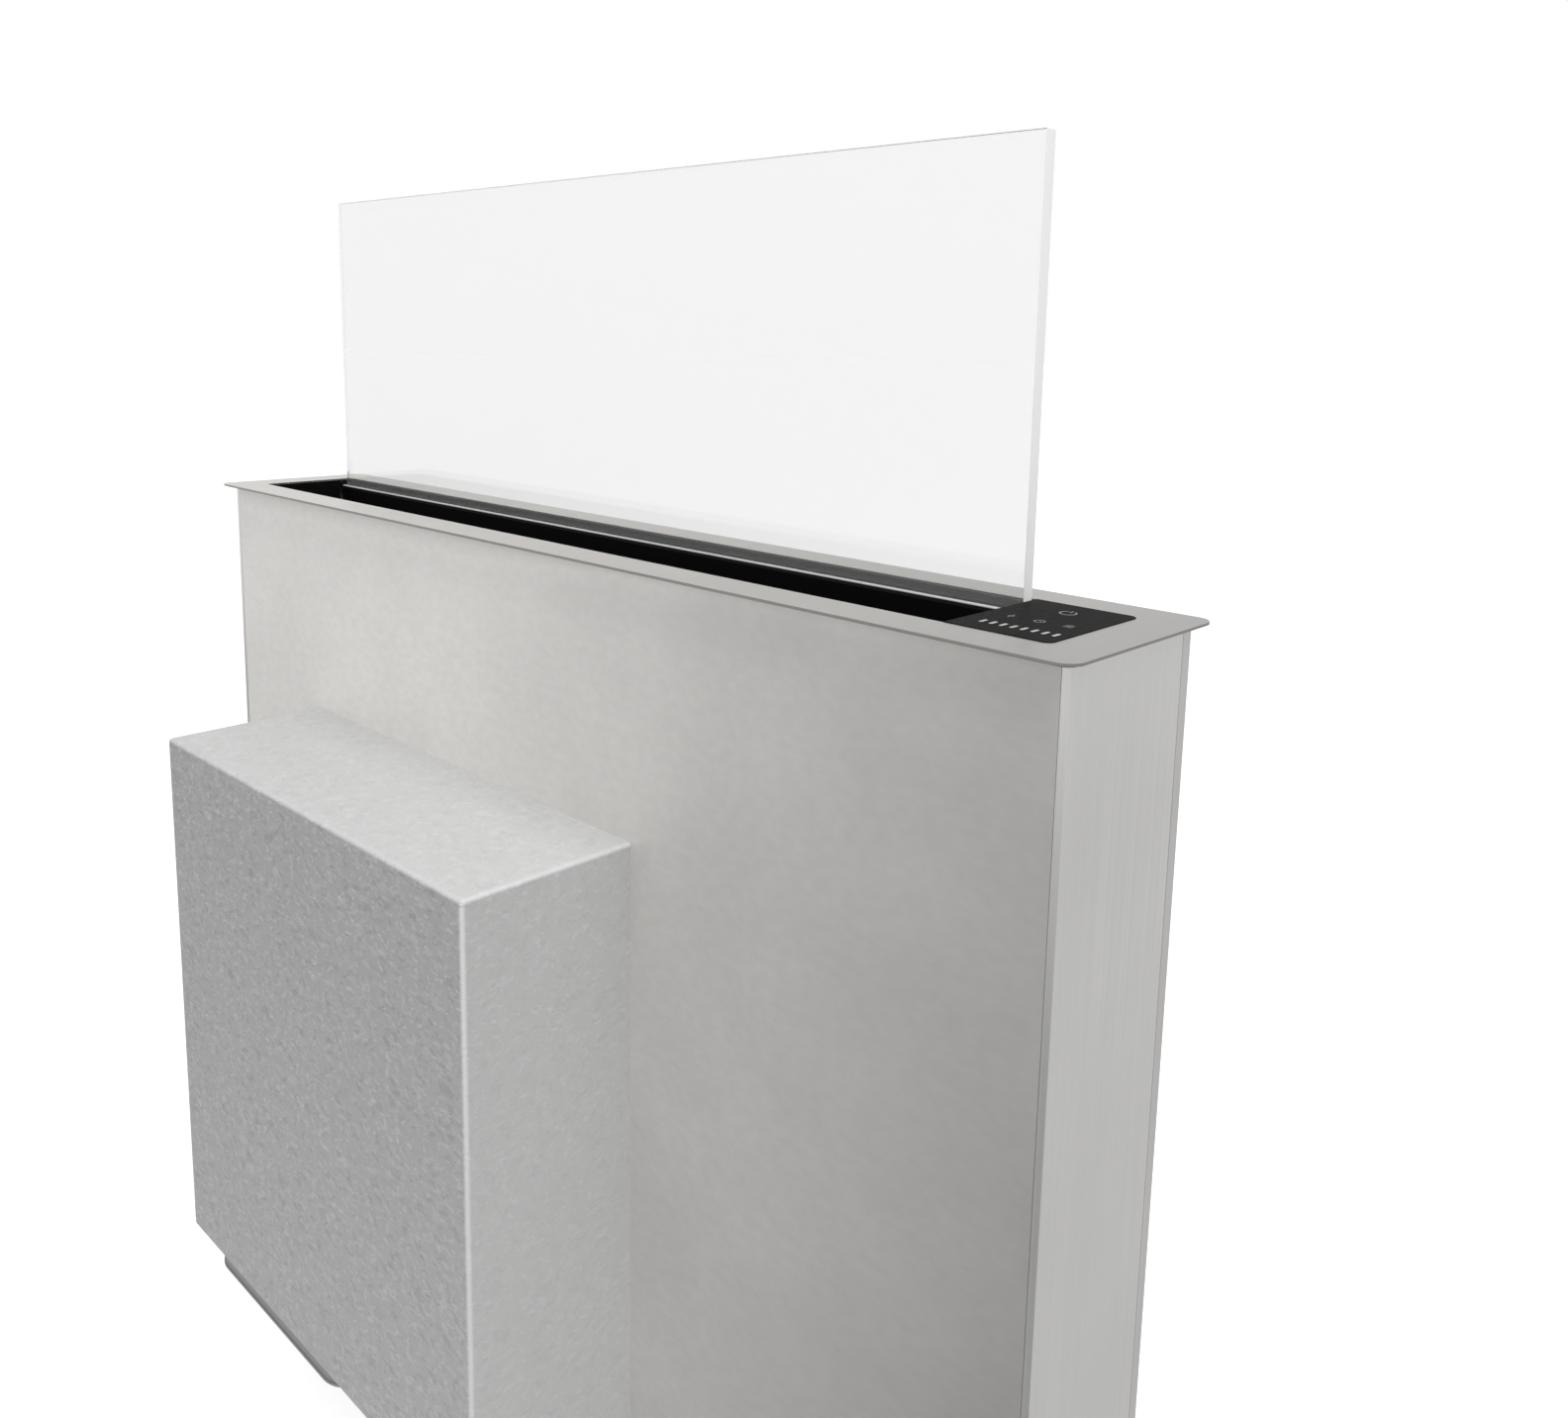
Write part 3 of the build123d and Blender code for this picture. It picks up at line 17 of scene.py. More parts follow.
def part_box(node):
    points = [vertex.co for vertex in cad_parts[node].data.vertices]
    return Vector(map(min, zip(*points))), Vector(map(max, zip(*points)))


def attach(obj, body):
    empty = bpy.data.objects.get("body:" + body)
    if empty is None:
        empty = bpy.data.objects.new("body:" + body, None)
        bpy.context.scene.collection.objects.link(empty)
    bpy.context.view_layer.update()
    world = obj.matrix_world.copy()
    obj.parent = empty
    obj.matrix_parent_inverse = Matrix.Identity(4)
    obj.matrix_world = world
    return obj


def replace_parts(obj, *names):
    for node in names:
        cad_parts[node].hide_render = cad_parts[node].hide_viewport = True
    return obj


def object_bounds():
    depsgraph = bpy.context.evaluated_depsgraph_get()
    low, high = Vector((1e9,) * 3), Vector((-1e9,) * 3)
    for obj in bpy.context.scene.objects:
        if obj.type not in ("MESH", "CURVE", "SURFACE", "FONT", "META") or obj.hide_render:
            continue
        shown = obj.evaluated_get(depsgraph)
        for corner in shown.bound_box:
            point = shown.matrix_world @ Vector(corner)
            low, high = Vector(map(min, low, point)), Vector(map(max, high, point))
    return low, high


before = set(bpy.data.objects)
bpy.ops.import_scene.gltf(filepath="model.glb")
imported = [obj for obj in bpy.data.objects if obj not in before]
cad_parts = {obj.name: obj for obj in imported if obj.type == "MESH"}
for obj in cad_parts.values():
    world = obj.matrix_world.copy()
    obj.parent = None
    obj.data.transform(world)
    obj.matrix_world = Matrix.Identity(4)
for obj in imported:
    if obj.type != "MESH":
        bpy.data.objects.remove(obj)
CAD_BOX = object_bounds()

Span = tuple[float, float]
Triple = tuple[float, float, float]
Colour = Triple
Socket = bpy.types.NodeSocket

LOG = logging.getLogger("vent")
MM = 0.001
EVEN: Triple = (1.0, 1.0, 1.0)
WHITE: Colour = (1.0, 1.0, 1.0)
UNIT: Span = (0.0, 1.0)
NOISE_SPAN: Span = (0.35, 0.65)
MERGE_DISTANCE = 0.005 * MM
SMOOTH_ANGLE = math.radians(35)
FULL_CIRCLE: Span = (0.0, 360.0)
STEP_ANGLE = 12.0
LEAST_STEPS = 4


# ---------------------------------------------------------------- shader building


class Shader:
    """A Principled material while it is built, with short calls for what finishes share."""

    def __init__(self, name: str) -> None:
        """Starts a material.

        Args:
            name: The material's name, which is the finish's own.
        """
        self.material = bpy.data.materials.new(name)
        self.material.use_nodes = True
        self.tree = self.material.node_tree
        self.surface = self.tree.nodes["Principled BSDF"]
        self.output = self.tree.nodes["Material Output"]

    @classmethod
    def around(cls, tree: bpy.types.NodeTree) -> "Shader":
        """The same short calls round a tree that there is already, such as the world's."""
        shader = cls.__new__(cls)
        shader.tree = tree
        return shader

    def set(self, **values: object) -> None:
        """Sets sockets of the Principled shader; an underscore in a name stands for a space."""
        for name, value in values.items():
            if isinstance(value, tuple):
                value = (*value, 1.0)
            self.feed(self.surface.inputs[name.replace("_", " ")], value)

    def node(self, kind: str, **settings: object) -> bpy.types.Node:
        """Adds a node.

        Args:
            kind: The node's type, without the leading ShaderNode.
            **settings: Properties of the node.

        Returns:
            The new node.
        """
        node = self.tree.nodes.new("ShaderNode" + kind)
        for name, value in settings.items():
            setattr(node, name, value)
        return node

    def feed(self, socket: Socket, value: object) -> None:
        """Links a socket's value, or sets it where it is a plain number or colour."""
        if isinstance(value, Socket):
            self.tree.links.new(value, socket)
        else:
            socket.default_value = value

    def position(self, scale: Triple = EVEN) -> Socket:
        """The object's own coordinates, stretched by a scale on each axis."""
        mapping = self.node("Mapping")
        mapping.inputs["Scale"].default_value = scale
        self.feed(mapping.inputs["Vector"], self.node("TexCoord").outputs["Object"])
        return mapping.outputs["Vector"]

    def axes(self, vector: Socket) -> dict[str, Socket]:
        """The parts of a vector, under X, Y and Z."""
        parts = self.node("SeparateXYZ")
        self.feed(parts.inputs["Vector"], vector)
        return {name: parts.outputs[name] for name in "XYZ"}

    def facing(self) -> dict[str, Socket]:
        """The parts of the direction that a face looks in, without any bump."""
        return self.axes(self.node("NewGeometry").outputs["True Normal"])

    def noise(
        self, vector: Socket, scale: float, detail: float = 3.0, distortion: float = 0.0
    ) -> Socket:
        """Smooth noise from 0 to 1 at a number of features to the metre."""
        noise = self.node("TexNoise")
        self.feed(noise.inputs["Vector"], vector)
        noise.inputs["Scale"].default_value = scale
        noise.inputs["Detail"].default_value = detail
        noise.inputs["Distortion"].default_value = distortion
        return noise.outputs["Fac"]

    def cells(self, vector: Socket, scale: float) -> bpy.types.Node:
        """A Voronoi node with a number of cells to the metre."""
        cells = self.node("TexVoronoi", feature="F1")
        self.feed(cells.inputs["Vector"], vector)
        cells.inputs["Scale"].default_value = scale
        return cells

    def spread(
        self, value: Socket, low: float | Socket, high: float | Socket, source: Span = UNIT
    ) -> Socket:
        """A value moved from one range to another and held within it.

        Args:
            value: The value to move.
            low: What the start of its range becomes.
            high: What the end of its range becomes.
            source: The range that it comes from.

        Returns:
            The moved value.
        """
        spread = self.node("MapRange")
        names = ("Value", "From Min", "From Max", "To Min", "To Max")
        for name, given in zip(names, (value, *source, low, high)):
            self.feed(spread.inputs[name], given)
        return spread.outputs["Result"]

    def about(self, value: Socket, middle: float, reach: float, source: Span = UNIT) -> Socket:
        """A value moved to a range that reaches as far below a number as above it."""
        return self.spread(value, middle - reach, middle + reach, source)

    def tint(self, factor: Socket, first: object, second: object) -> Socket:
        """A colour between two others."""
        mix = self.node("Mix", data_type="RGBA")
        self.feed(mix.inputs["Factor"], factor)
        for socket, colour in zip((mix.inputs[6], mix.inputs[7]), (first, second)):
            self.feed(socket, (*colour, 1.0) if isinstance(colour, tuple) else colour)
        return mix.outputs[2]

    def shades(self, factor: Socket, colour: Colour, depth: float) -> Socket:
        """One colour made darker and lighter by a share of itself."""
        dark = tuple(part * (1 - depth) for part in colour)
        light = tuple(min(1.0, part * (1 + depth)) for part in colour)
        return self.tint(factor, dark, light)

    def scaled(self, colour: Socket, factor: Socket) -> Socket:
        """A colour times a factor."""
        scale = self.node("VectorMath", operation="SCALE")
        self.feed(scale.inputs["Vector"], colour)
        self.feed(scale.inputs["Scale"], factor)
        return scale.outputs["Vector"]

    def maths(self, operation: str, first: object, second: object = 0.0) -> Socket:
        """One step of arithmetic."""
        step = self.node("Math", operation=operation)
        self.feed(step.inputs[0], first)
        self.feed(step.inputs[1], second)
        return step.outputs["Value"]

    def fold(self, operation: str, values: list[Socket]) -> Socket:
        """The same step of arithmetic from each value of a row to the next."""
        total = values[0]
        for value in values[1:]:
            total = self.maths(operation, total, value)
        return total

    def bump(self, height: Socket, strength: float, distance: float) -> Socket:
        """A normal raised by a height."""
        bump = self.node("Bump")
        self.feed(bump.inputs["Height"], height)
        bump.inputs["Strength"].default_value = strength
        bump.inputs["Distance"].default_value = distance
        return bump.outputs["Normal"]


class Grain(Enum):
    """Which way a sheet was brushed, as features to the metre on each axis."""

    ALONG_X = (7.0, 1100.0, 1100.0)
    ALONG_Z = (900.0, 900.0, 4.0)
    SATIN = (100.0, 170.0, 170.0)


# ---------------------------------------------------------------- finishes


@dataclass(frozen=True)
class Finish:
    """A finish that can be put on any piece."""

    name: str
    colour: Colour
    roughness: float

    def material(self) -> bpy.types.Material:
        """The finish's material, made the first time that it is asked for."""
        found = bpy.data.materials.get(self.name)
        if found is None:
            shader = Shader(self.name)
            shader.set(Base_Color=self.colour, Roughness=self.roughness)
            self.build(shader)
            found = shader.material
        return found

    def build(self, shader: Shader) -> None:
        """Adds the finish's own nodes."""
        raise NotImplementedError


@dataclass(frozen=True)
class BrushedSteel(Finish):
    """Stainless sheet with streaks along its grain, a faint cloud and painted shade and light.

    Painted shade drifts the tone from left to right over its span and darkens the foot of the
    right-hand end; painted light makes the sheet lighter right under the frame, where the frame
    casts shade; and painted shade sets the tone of faces that look to the front and of the
    edges of a flat sheet.
    """

    grain: Grain = Grain.ALONG_X
    metal: float = 1.0
    streak: float = 0.05
    streak_span: Span = (0.3, 0.7)
    cloud: float = 0.02
    cloud_scale: float = 9.0
    gloss_reach: float = 0.05
    relief: float = 0.03
    relief_depth: float = 0.1 * MM
    # Painted shade: the tone at the left and right ends of its span.
    shade_drift: Span = (1.0, 1.0)
    shade_drift_span: Span = (-0.1, 0.43)
    # Painted shade: the tone at the foot of the right-hand end.
    foot: float = 1.0
    foot_height: Span = (-0.65, 0.0)
    foot_place: Span = (0.1, 0.43)
    # Painted light: how much lighter the sheet is right under the frame, where the frame casts
    # shade.
    brow_light: float = 0.0
    brow_light_height: Span = (-35 * MM, -3 * MM)
    brightest: float = 1.38
    # Painted shade: the tone of faces that look to the front, below a height.
    front_shade: float = 1.0
    front_height: Span = (-0.2, -0.02)
    front_turn: Span = (-0.9, -0.5)
    # Painted shade: the tone of upright faces, such as the edges of a flat sheet.
    edge_shade: float | None = None
    level_turn: Span = (0.3, 0.8)

    def tone(self, shader: Shader, clouds: Socket) -> Socket:
        """The clouds times painted shade and light that follow the place and the way that the sheet
        faces.
        """
        place, facing = shader.axes(shader.position()), shader.facing()
        # Painted shade from left to right.
        shade_drift = shader.spread(place["X"], *self.shade_drift, self.shade_drift_span)
        # Painted shade at the right-hand end's foot.
        right = shader.spread(place["X"], 0.0, 1.0, self.foot_place)
        low = shader.spread(place["Z"], 1.0 - self.foot, 0.0, self.foot_height)
        foot = shader.maths("SUBTRACT", 1.0, shader.maths("MULTIPLY", right, low))
        # Painted shade on faces that look to the front.
        ahead = shader.spread(facing["Y"], 1.0 - self.front_shade, 0.0, self.front_turn)
        below = shader.spread(place["Z"], 1.0, 0.0, self.front_height)
        front = shader.maths("SUBTRACT", 1.0, shader.maths("MULTIPLY", ahead, below))
        # Painted light under the frame.
        high = shader.spread(place["Z"], 0.0, 1.0, self.brow_light_height)
        brow_light = shader.spread(shader.maths("MULTIPLY", high, high), 1.0, 1.0 + self.brow_light)
        tone = shader.fold("MULTIPLY", [clouds, shade_drift, foot, front, brow_light])
        tone = shader.maths("MINIMUM", tone, self.brightest)
        # Painted shade on upright faces.
        if self.edge_shade is not None:
            level = shader.maths("ABSOLUTE", facing["Z"])
            tone = shader.spread(level, self.edge_shade, tone, self.level_turn)
        return tone

    def build(self, shader: Shader) -> None:
        """Adds the streaks, the cloud with the painted shade and light, and the fine relief."""
        streaks = shader.noise(shader.position(self.grain.value), 1.0, detail=4.0)
        streaks = shader.spread(streaks, 0.0, 1.0, self.streak_span)
        clouds = shader.noise(shader.position(), self.cloud_scale, detail=5.0)
        clouds = shader.about(clouds, 1.0, self.cloud, NOISE_SPAN)
        colour = shader.shades(streaks, self.colour, self.streak)
        shader.set(
            Base_Color=shader.scaled(colour, self.tone(shader, clouds)),
            Metallic=self.metal,
            Roughness=shader.about(streaks, self.roughness, self.gloss_reach),
            Normal=shader.bump(streaks, self.relief, self.relief_depth),
        )


@dataclass(frozen=True)
class HammeredCoat(Finish):
    """Thick grey coating with a hammered grain, painted shade on its upright faces and a painted
    highlight along the box's edges.
    """

    node: str = "blower_box"
    behind: float = 0.1
    # Painted highlight: the colour along the edges, which the painted glints go towards too.
    highlight_colour: Colour = (0.7, 0.7, 0.7)
    edge_start: float = 0.9 * MM
    edge_width: float = 2.4 * MM
    # How much of the painted highlight is left along the top edges.
    rim_share: float = 0.4
    grain: Triple = (0.62, 0.62, 0.95)
    ripple_scale: float = 210.0
    ripple_span: Span = (0.5, 0.7)
    hollow_scale: float = 175.0
    hollow_span: Span = (0.52, 0.72)
    ripple_bend: float = 0.9
    speck_scale: float = 360.0
    speck_span: Span = (0.68, 0.78)
    speck_bend: float = 0.6
    # The coat's flecks, and painted light and shade: how much lighter the crests and darker the
    # hollows are.
    fleck_and_shade: float = 0.17
    # Painted glints: how far bright specks go towards the highlight colour.
    glint: float = 0.5
    side_share: float = 0.4
    # Painted shade and light: the tone of the upright faces at the top and at the foot.
    tone: Span = (0.9, 1.08)
    duller: float = 0.1
    shinier: float = 0.15
    relief: float = 0.35
    relief_depth: float = 0.4 * MM

    def edges(self, shader: Shader) -> Socket:
        """How near a point is to an edge of the box, from 0 to 1, which is where the highlight is
        painted.

        The distances to the three pairs of faces are sorted: on a face the least is nothing,
        and along an edge the one in the middle is small too. The box is taken to go on behind
        the sheet that it is fixed to, because the edges there are flanges.
        """
        low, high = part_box(self.node)
        high = high + Vector((0.0, self.behind, 0.0))
        place = shader.axes(shader.position())
        gaps = []
        for part, centre, half in zip(place.values(), (low + high) / 2, (high - low) / 2):
            offset = shader.maths("ABSOLUTE", shader.maths("SUBTRACT", part, centre))
            gaps.append(shader.maths("ABSOLUTE", shader.maths("SUBTRACT", offset, half)))
        total, least, most = (shader.fold(step, gaps) for step in ("ADD", "MINIMUM", "MAXIMUM"))
        middle = shader.maths("SUBTRACT", shader.maths("SUBTRACT", total, least), most)
        width = (self.edge_start, self.edge_start + self.edge_width)
        rim = (high.z - 2 * self.edge_width, high.z - self.edge_width)
        near = shader.spread(middle, 1.0, 0.0, width)
        return shader.maths("MULTIPLY", near, shader.spread(place["Z"], 1.0, self.rim_share, rim))

    def build(self, shader: Shader) -> None:
        """Adds the ripples with their crests painted light and their hollows painted dark, the
        painted glints, the painted shade and the painted highlight along the edges.
        """
        grain, facing = shader.position(self.grain), shader.facing()
        ripples = shader.noise(grain, self.ripple_scale, 2.0, self.ripple_bend)
        hollows = shader.noise(grain, self.hollow_scale, 2.0, self.ripple_bend)
        specks = shader.noise(grain, self.speck_scale, 0.0, self.speck_bend)
        crest = shader.spread(ripples, 0.0, 1.0, self.ripple_span)
        dip = shader.spread(hollows, 0.0, 1.0, self.hollow_span)
        speck = shader.spread(specks, 0.0, 1.0, self.speck_span)
        amount = shader.spread(shader.maths("ABSOLUTE", facing["Y"]), self.side_share, 1.0)
        level = shader.maths("MULTIPLY", shader.maths("SUBTRACT", crest, dip), amount)
        glint = shader.maths("MULTIPLY", speck, amount)
        # Painted shade and light: upright faces darker towards the top and lighter at the foot;
        # faces that look up keep their own colour.
        low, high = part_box(self.node)
        height = shader.axes(shader.position())["Z"]
        tone = shader.spread(height, self.tone[1], self.tone[0], (low.z, high.z))
        tone = shader.maths("MAXIMUM", tone, shader.maths("ABSOLUTE", facing["Z"]))
        # The coat's flecks, with painted light on the crests and painted shade in the hollows.
        fleck_and_shade = shader.spread(level, 0.0, 1.0, (-1.0, 1.0))
        body = shader.scaled(shader.shades(fleck_and_shade, self.colour, self.fleck_and_shade), tone)
        # Painted glints at the specks.
        body = shader.tint(shader.maths("MULTIPLY", glint, self.glint), body, self.highlight_colour)
        dull, shiny = self.roughness + self.duller, self.roughness - self.shinier
        relief = shader.maths("ADD", level, glint)
        shader.set(
            # Painted highlight along the edges.
            Base_Color=shader.tint(self.edges(shader), body, self.highlight_colour),
            Roughness=shader.spread(level, dull, shiny, (-0.5, 1.0)),
            Normal=shader.bump(relief, self.relief, self.relief_depth),
        )


@dataclass(frozen=True)
class ClearGlass(Finish):
    """Clear toughened glass with a faint haze, which lets lamps through to what is behind it."""

    lamp_tint: Colour = (0.9, 0.92, 0.92)
    index: float = 1.5
    clearness: float = 0.93
    film: Triple = (40.0, 40.0, 6.0)
    haze: float = 0.012

    def build(self, shader: Shader) -> None:
        """Adds faint streaks of cleaning, and the way through for lamps."""
        film = shader.noise(shader.position(self.film), 1.0, detail=2.0)
        shader.set(
            Transmission_Weight=self.clearness,
            IOR=self.index,
            Roughness=shader.spread(film, self.roughness, self.roughness + self.haze),
        )
        clear = shader.node("BsdfTransparent")
        clear.inputs["Color"].default_value = (*self.lamp_tint, 1.0)
        mix = shader.node("MixShader")
        shader.feed(mix.inputs[0], shader.node("LightPath").outputs["Is Shadow Ray"])
        shader.feed(mix.inputs[1], shader.surface.outputs["BSDF"])
        shader.feed(mix.inputs[2], clear.outputs["BSDF"])
        shader.feed(shader.output.inputs["Surface"], mix.outputs["Shader"])


@dataclass(frozen=True)
class GroundEdge(ClearGlass):
    """The ground edge of a pane: frosted from outside, and a way out for light in the glass."""

    frosting: float = 0.55
    inner: Colour = (0.97, 0.972, 0.97)

    def build(self, shader: Shader) -> None:
        """Tells light that comes out of the glass from light that falls on the edge."""
        super().build(shader)
        inside = shader.node("NewGeometry").outputs["Backfacing"]
        shader.set(
            Base_Color=shader.tint(inside, self.colour, self.inner),
            Transmission_Weight=shader.spread(inside, 0.0, self.clearness),
            Roughness=shader.spread(inside, self.frosting, self.roughness),
        )


@dataclass(frozen=True)
class FineCoat(Finish):
    """Paint, enamel, plastic or rubber with an even fine texture."""

    texture: float = 900.0
    patches: float = 22.0
    depth: float = 0.08
    gloss_reach: float = 0.06
    relief: float = 0.12
    relief_depth: float = 0.06 * MM
    shine: float = 0.5
    metal: float = 0.0

    def build(self, shader: Shader) -> None:
        """Adds the fine texture to colour, gloss and relief."""
        noises = [shader.noise(shader.position(), scale) for scale in (self.texture, self.patches)]
        both = shader.fold("ADD", [shader.maths("MULTIPLY", noise, 0.5) for noise in noises])
        shade = shader.spread(both, 0.0, 1.0, NOISE_SPAN)
        shader.set(
            Base_Color=shader.shades(shade, self.colour, self.depth),
            Roughness=shader.about(both, self.roughness, self.gloss_reach, NOISE_SPAN),
            Normal=shader.bump(noises[0], self.relief, self.relief_depth),
            Specular_IOR_Level=self.shine,
            Metallic=self.metal,
        )


@dataclass(frozen=True)
class Galvanised(Finish):
    """Zinc-coated sheet with its crystals."""

    crystals: float = 95.0
    depth: float = 0.07
    metal: float = 0.9
    shinier: float = 0.08
    duller: float = 0.1
    texture: float = 700.0
    relief: float = 0.05
    relief_depth: float = 0.05 * MM

    def build(self, shader: Shader) -> None:
        """Adds the crystals, each with a shade and a gloss of its own."""
        cells = shader.cells(shader.position(), self.crystals)
        shade = shader.node("SeparateColor")
        shader.feed(shade.inputs["Color"], cells.outputs["Color"])
        shiny, dull = self.roughness - self.shinier, self.roughness + self.duller
        fine = shader.noise(shader.position(), self.texture)
        shader.set(
            Base_Color=shader.shades(shade.outputs["Red"], self.colour, self.depth),
            Metallic=self.metal,
            Roughness=shader.spread(shade.outputs["Green"], shiny, dull),
            Normal=shader.bump(fine, self.relief, self.relief_depth),
        )


@dataclass(frozen=True)
class TurnedSteel(Finish):
    """Ground or plated steel with fine marks round it."""

    marks: Triple = (2200.0, 2200.0, 2200.0)
    depth: float = 0.06
    shinier: float = 0.05
    duller: float = 0.08
    relief: float = 0.04
    relief_depth: float = 0.03 * MM

    def build(self, shader: Shader) -> None:
        """Adds the marks."""
        marks = shader.noise(shader.position(self.marks), 1.0, detail=2.0)
        shiny, dull = self.roughness - self.shinier, self.roughness + self.duller
        shader.set(
            Base_Color=shader.shades(marks, self.colour, self.depth),
            Metallic=1.0,
            Roughness=shader.spread(marks, shiny, dull),
            Normal=shader.bump(marks, self.relief, self.relief_depth),
        )


@dataclass(frozen=True)
class Lit(Finish):
    """Print or opal plastic with light behind it."""

    glow: float = 0.05
    texture: float = 1500.0
    depth: float = 0.05
    gloss_reach: float = 0.05

    def build(self, shader: Shader) -> None:
        """Adds a soft grain and the glow."""
        grain = shader.noise(shader.position(), self.texture)
        shader.set(
            Emission_Color=self.colour,
            Roughness=shader.about(grain, self.roughness, self.gloss_reach),
        )
        self.light(shader, shader.shades(grain, self.colour, self.depth))

    def light(self, shader: Shader, colour: Socket) -> None:
        """Sets the colour and the glow, which are those of the print all over."""
        shader.set(Base_Color=colour, Emission_Strength=self.glow)


@dataclass(frozen=True)
class Diffuser(Lit):
    """An opal diffuser in a black holder, which covers it below a height."""

    holder: Colour = (0.004, 0.004, 0.004)
    holder_top: float = -5.2 * MM
    joint: float = 0.2 * MM

    def light(self, shader: Shader, colour: Socket) -> None:
        """Sets the opal's colour and glow, and the dark holder below them."""
        height = shader.axes(shader.position())["Z"]
        opal = shader.spread(height, 0.0, 1.0, (self.holder_top, self.holder_top + self.joint))
        shader.set(
            Base_Color=shader.tint(opal, self.holder, colour),
            Emission_Strength=shader.maths("MULTIPLY", opal, self.glow),
        )


@dataclass(frozen=True)
class CircuitBoard(Finish):
    """Green solder resist with copper tracks under it."""

    track_scale: float = 160.0
    track_depth: float = 0.35
    pad_scale: float = 120.0
    pad_span: Span = (0.06, 0.1)
    pad_colour: Colour = (0.7, 0.55, 0.25)
    relief: float = 0.2
    relief_depth: float = 0.05 * MM

    def build(self, shader: Shader) -> None:
        """Adds the tracks and the bare pads."""
        tracks = shader.node("TexBrick")
        shader.feed(tracks.inputs["Vector"], shader.position())
        tracks.inputs["Scale"].default_value = self.track_scale
        track = shader.shades(tracks.outputs["Fac"], self.colour, self.track_depth)
        pads = shader.cells(shader.position(), self.pad_scale).outputs["Distance"]
        pad = shader.spread(pads, 1.0, 0.0, self.pad_span)
        shader.set(
            Base_Color=shader.tint(pad, track, self.pad_colour),
            Normal=shader.bump(tracks.outputs["Fac"], self.relief, self.relief_depth),
        )


# The front sheet is painted darker to the right and towards the right-hand foot, and painted
# lighter under the frame.
FRONT_STEEL = BrushedSteel(
    "steel_front_sheet",
    (0.68, 0.67, 0.65),
    0.55,
    Grain.SATIN,
    metal=0.35,
    streak=0.038,
    cloud=0.035,
    shade_drift=(1.25, 0.75),
    foot=0.62,
    brow_light=0.42,
)
# The side channels' faces that look to the front are painted darker, more so lower down.
SIDE_STEEL = BrushedSteel(
    "steel_side_channel", (0.69, 0.685, 0.67), 0.38, Grain.ALONG_Z, streak=0.045, front_shade=0.7
)
REAR_STEEL = BrushedSteel("steel_rear_sheet", (0.62, 0.61, 0.60), 0.42, Grain.ALONG_Z)
# The top frame is painted darker from left to right, and its upright edges are painted dark.
FRAME_STEEL = BrushedSteel(
    "steel_top_frame", (0.515, 0.495, 0.475), 0.34, shade_drift=(1.17, 0.81), edge_shade=0.545
)
FILTER_STEEL = BrushedSteel("steel_filter_frame", (0.62, 0.62, 0.61), 0.3, streak=0.06)
BOX_COAT = HammeredCoat("grey_hammered_coat", (0.5, 0.5, 0.5), 0.5)
PANE_GLASS = ClearGlass("clear_pane_glass", (0.905, 0.908, 0.905), 0.0)
EDGE_GLASS = GroundEdge("ground_edge_glass", (0.74, 0.745, 0.74), 0.0, clearness=1.0)
TOUCH_GLASS = FineCoat(
    "black_touch_glass",
    (0.016, 0.016, 0.0155),
    0.3,
    texture=300.0,
    depth=0.03,
    relief=0.0,
    shine=0.001,
)
BLACK_SHEET = FineCoat(
    "black_matt_coat", (0.003, 0.003, 0.003), 0.85, texture=1400.0, shine=0.04
)
BLACK_PLASTIC = FineCoat("black_moulded_plastic", (0.025, 0.025, 0.027), 0.5, texture=1100.0)
GREY_PLASTIC = FineCoat(
    "grey_moulded_plastic", (0.40, 0.402, 0.39), 0.48, texture=800.0, depth=0.04
)
NYLON = FineCoat("natural_nylon", (0.70, 0.69, 0.64), 0.45, texture=500.0, depth=0.03)
CAST_ALUMINIUM = FineCoat(
    "cast_aluminium", (0.56, 0.57, 0.58), 0.45, texture=650.0, depth=0.06, metal=1.0
)
RUBBER = FineCoat("black_rubber", (0.02, 0.02, 0.02), 0.8, texture=700.0, shine=0.2)
ENAMEL = FineCoat("black_motor_enamel", (0.045, 0.045, 0.05), 0.35, texture=400.0)
ZINC_SHEET = Galvanised("galvanised_sheet", (0.56, 0.58, 0.59), 0.4)
ROD_STEEL = TurnedSteel("ground_rod_steel", (0.68, 0.68, 0.69), 0.18)
SCREW_STEEL = TurnedSteel("zinc_plated_screws", (0.62, 0.63, 0.65), 0.3)
WIRE = TurnedSteel("woven_filter_wire", (0.66, 0.67, 0.68), 0.35)
DIFFUSER = Diffuser("opal_lamp_diffuser", (0.40, 0.40, 0.395), 0.4, glow=0.04)
BARS = Lit("lit_panel_bars", (0.33, 0.33, 0.325), 0.5)
SYMBOLS = Lit("dim_panel_symbols", (0.16, 0.16, 0.16), 0.5)
BOARD = CircuitBoard("green_circuit_board", (0.02, 0.14, 0.06), 0.35)


# ---------------------------------------------------------------- meshes


def dress(nodes: list[str], finish: Finish) -> None:
    """Puts a finish on CAD nodes, in the slots that they have."""
    for name in nodes:
        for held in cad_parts[name].material_slots:
            held.material = finish.material()
        LOG.info("%s: %s", name, finish.name)


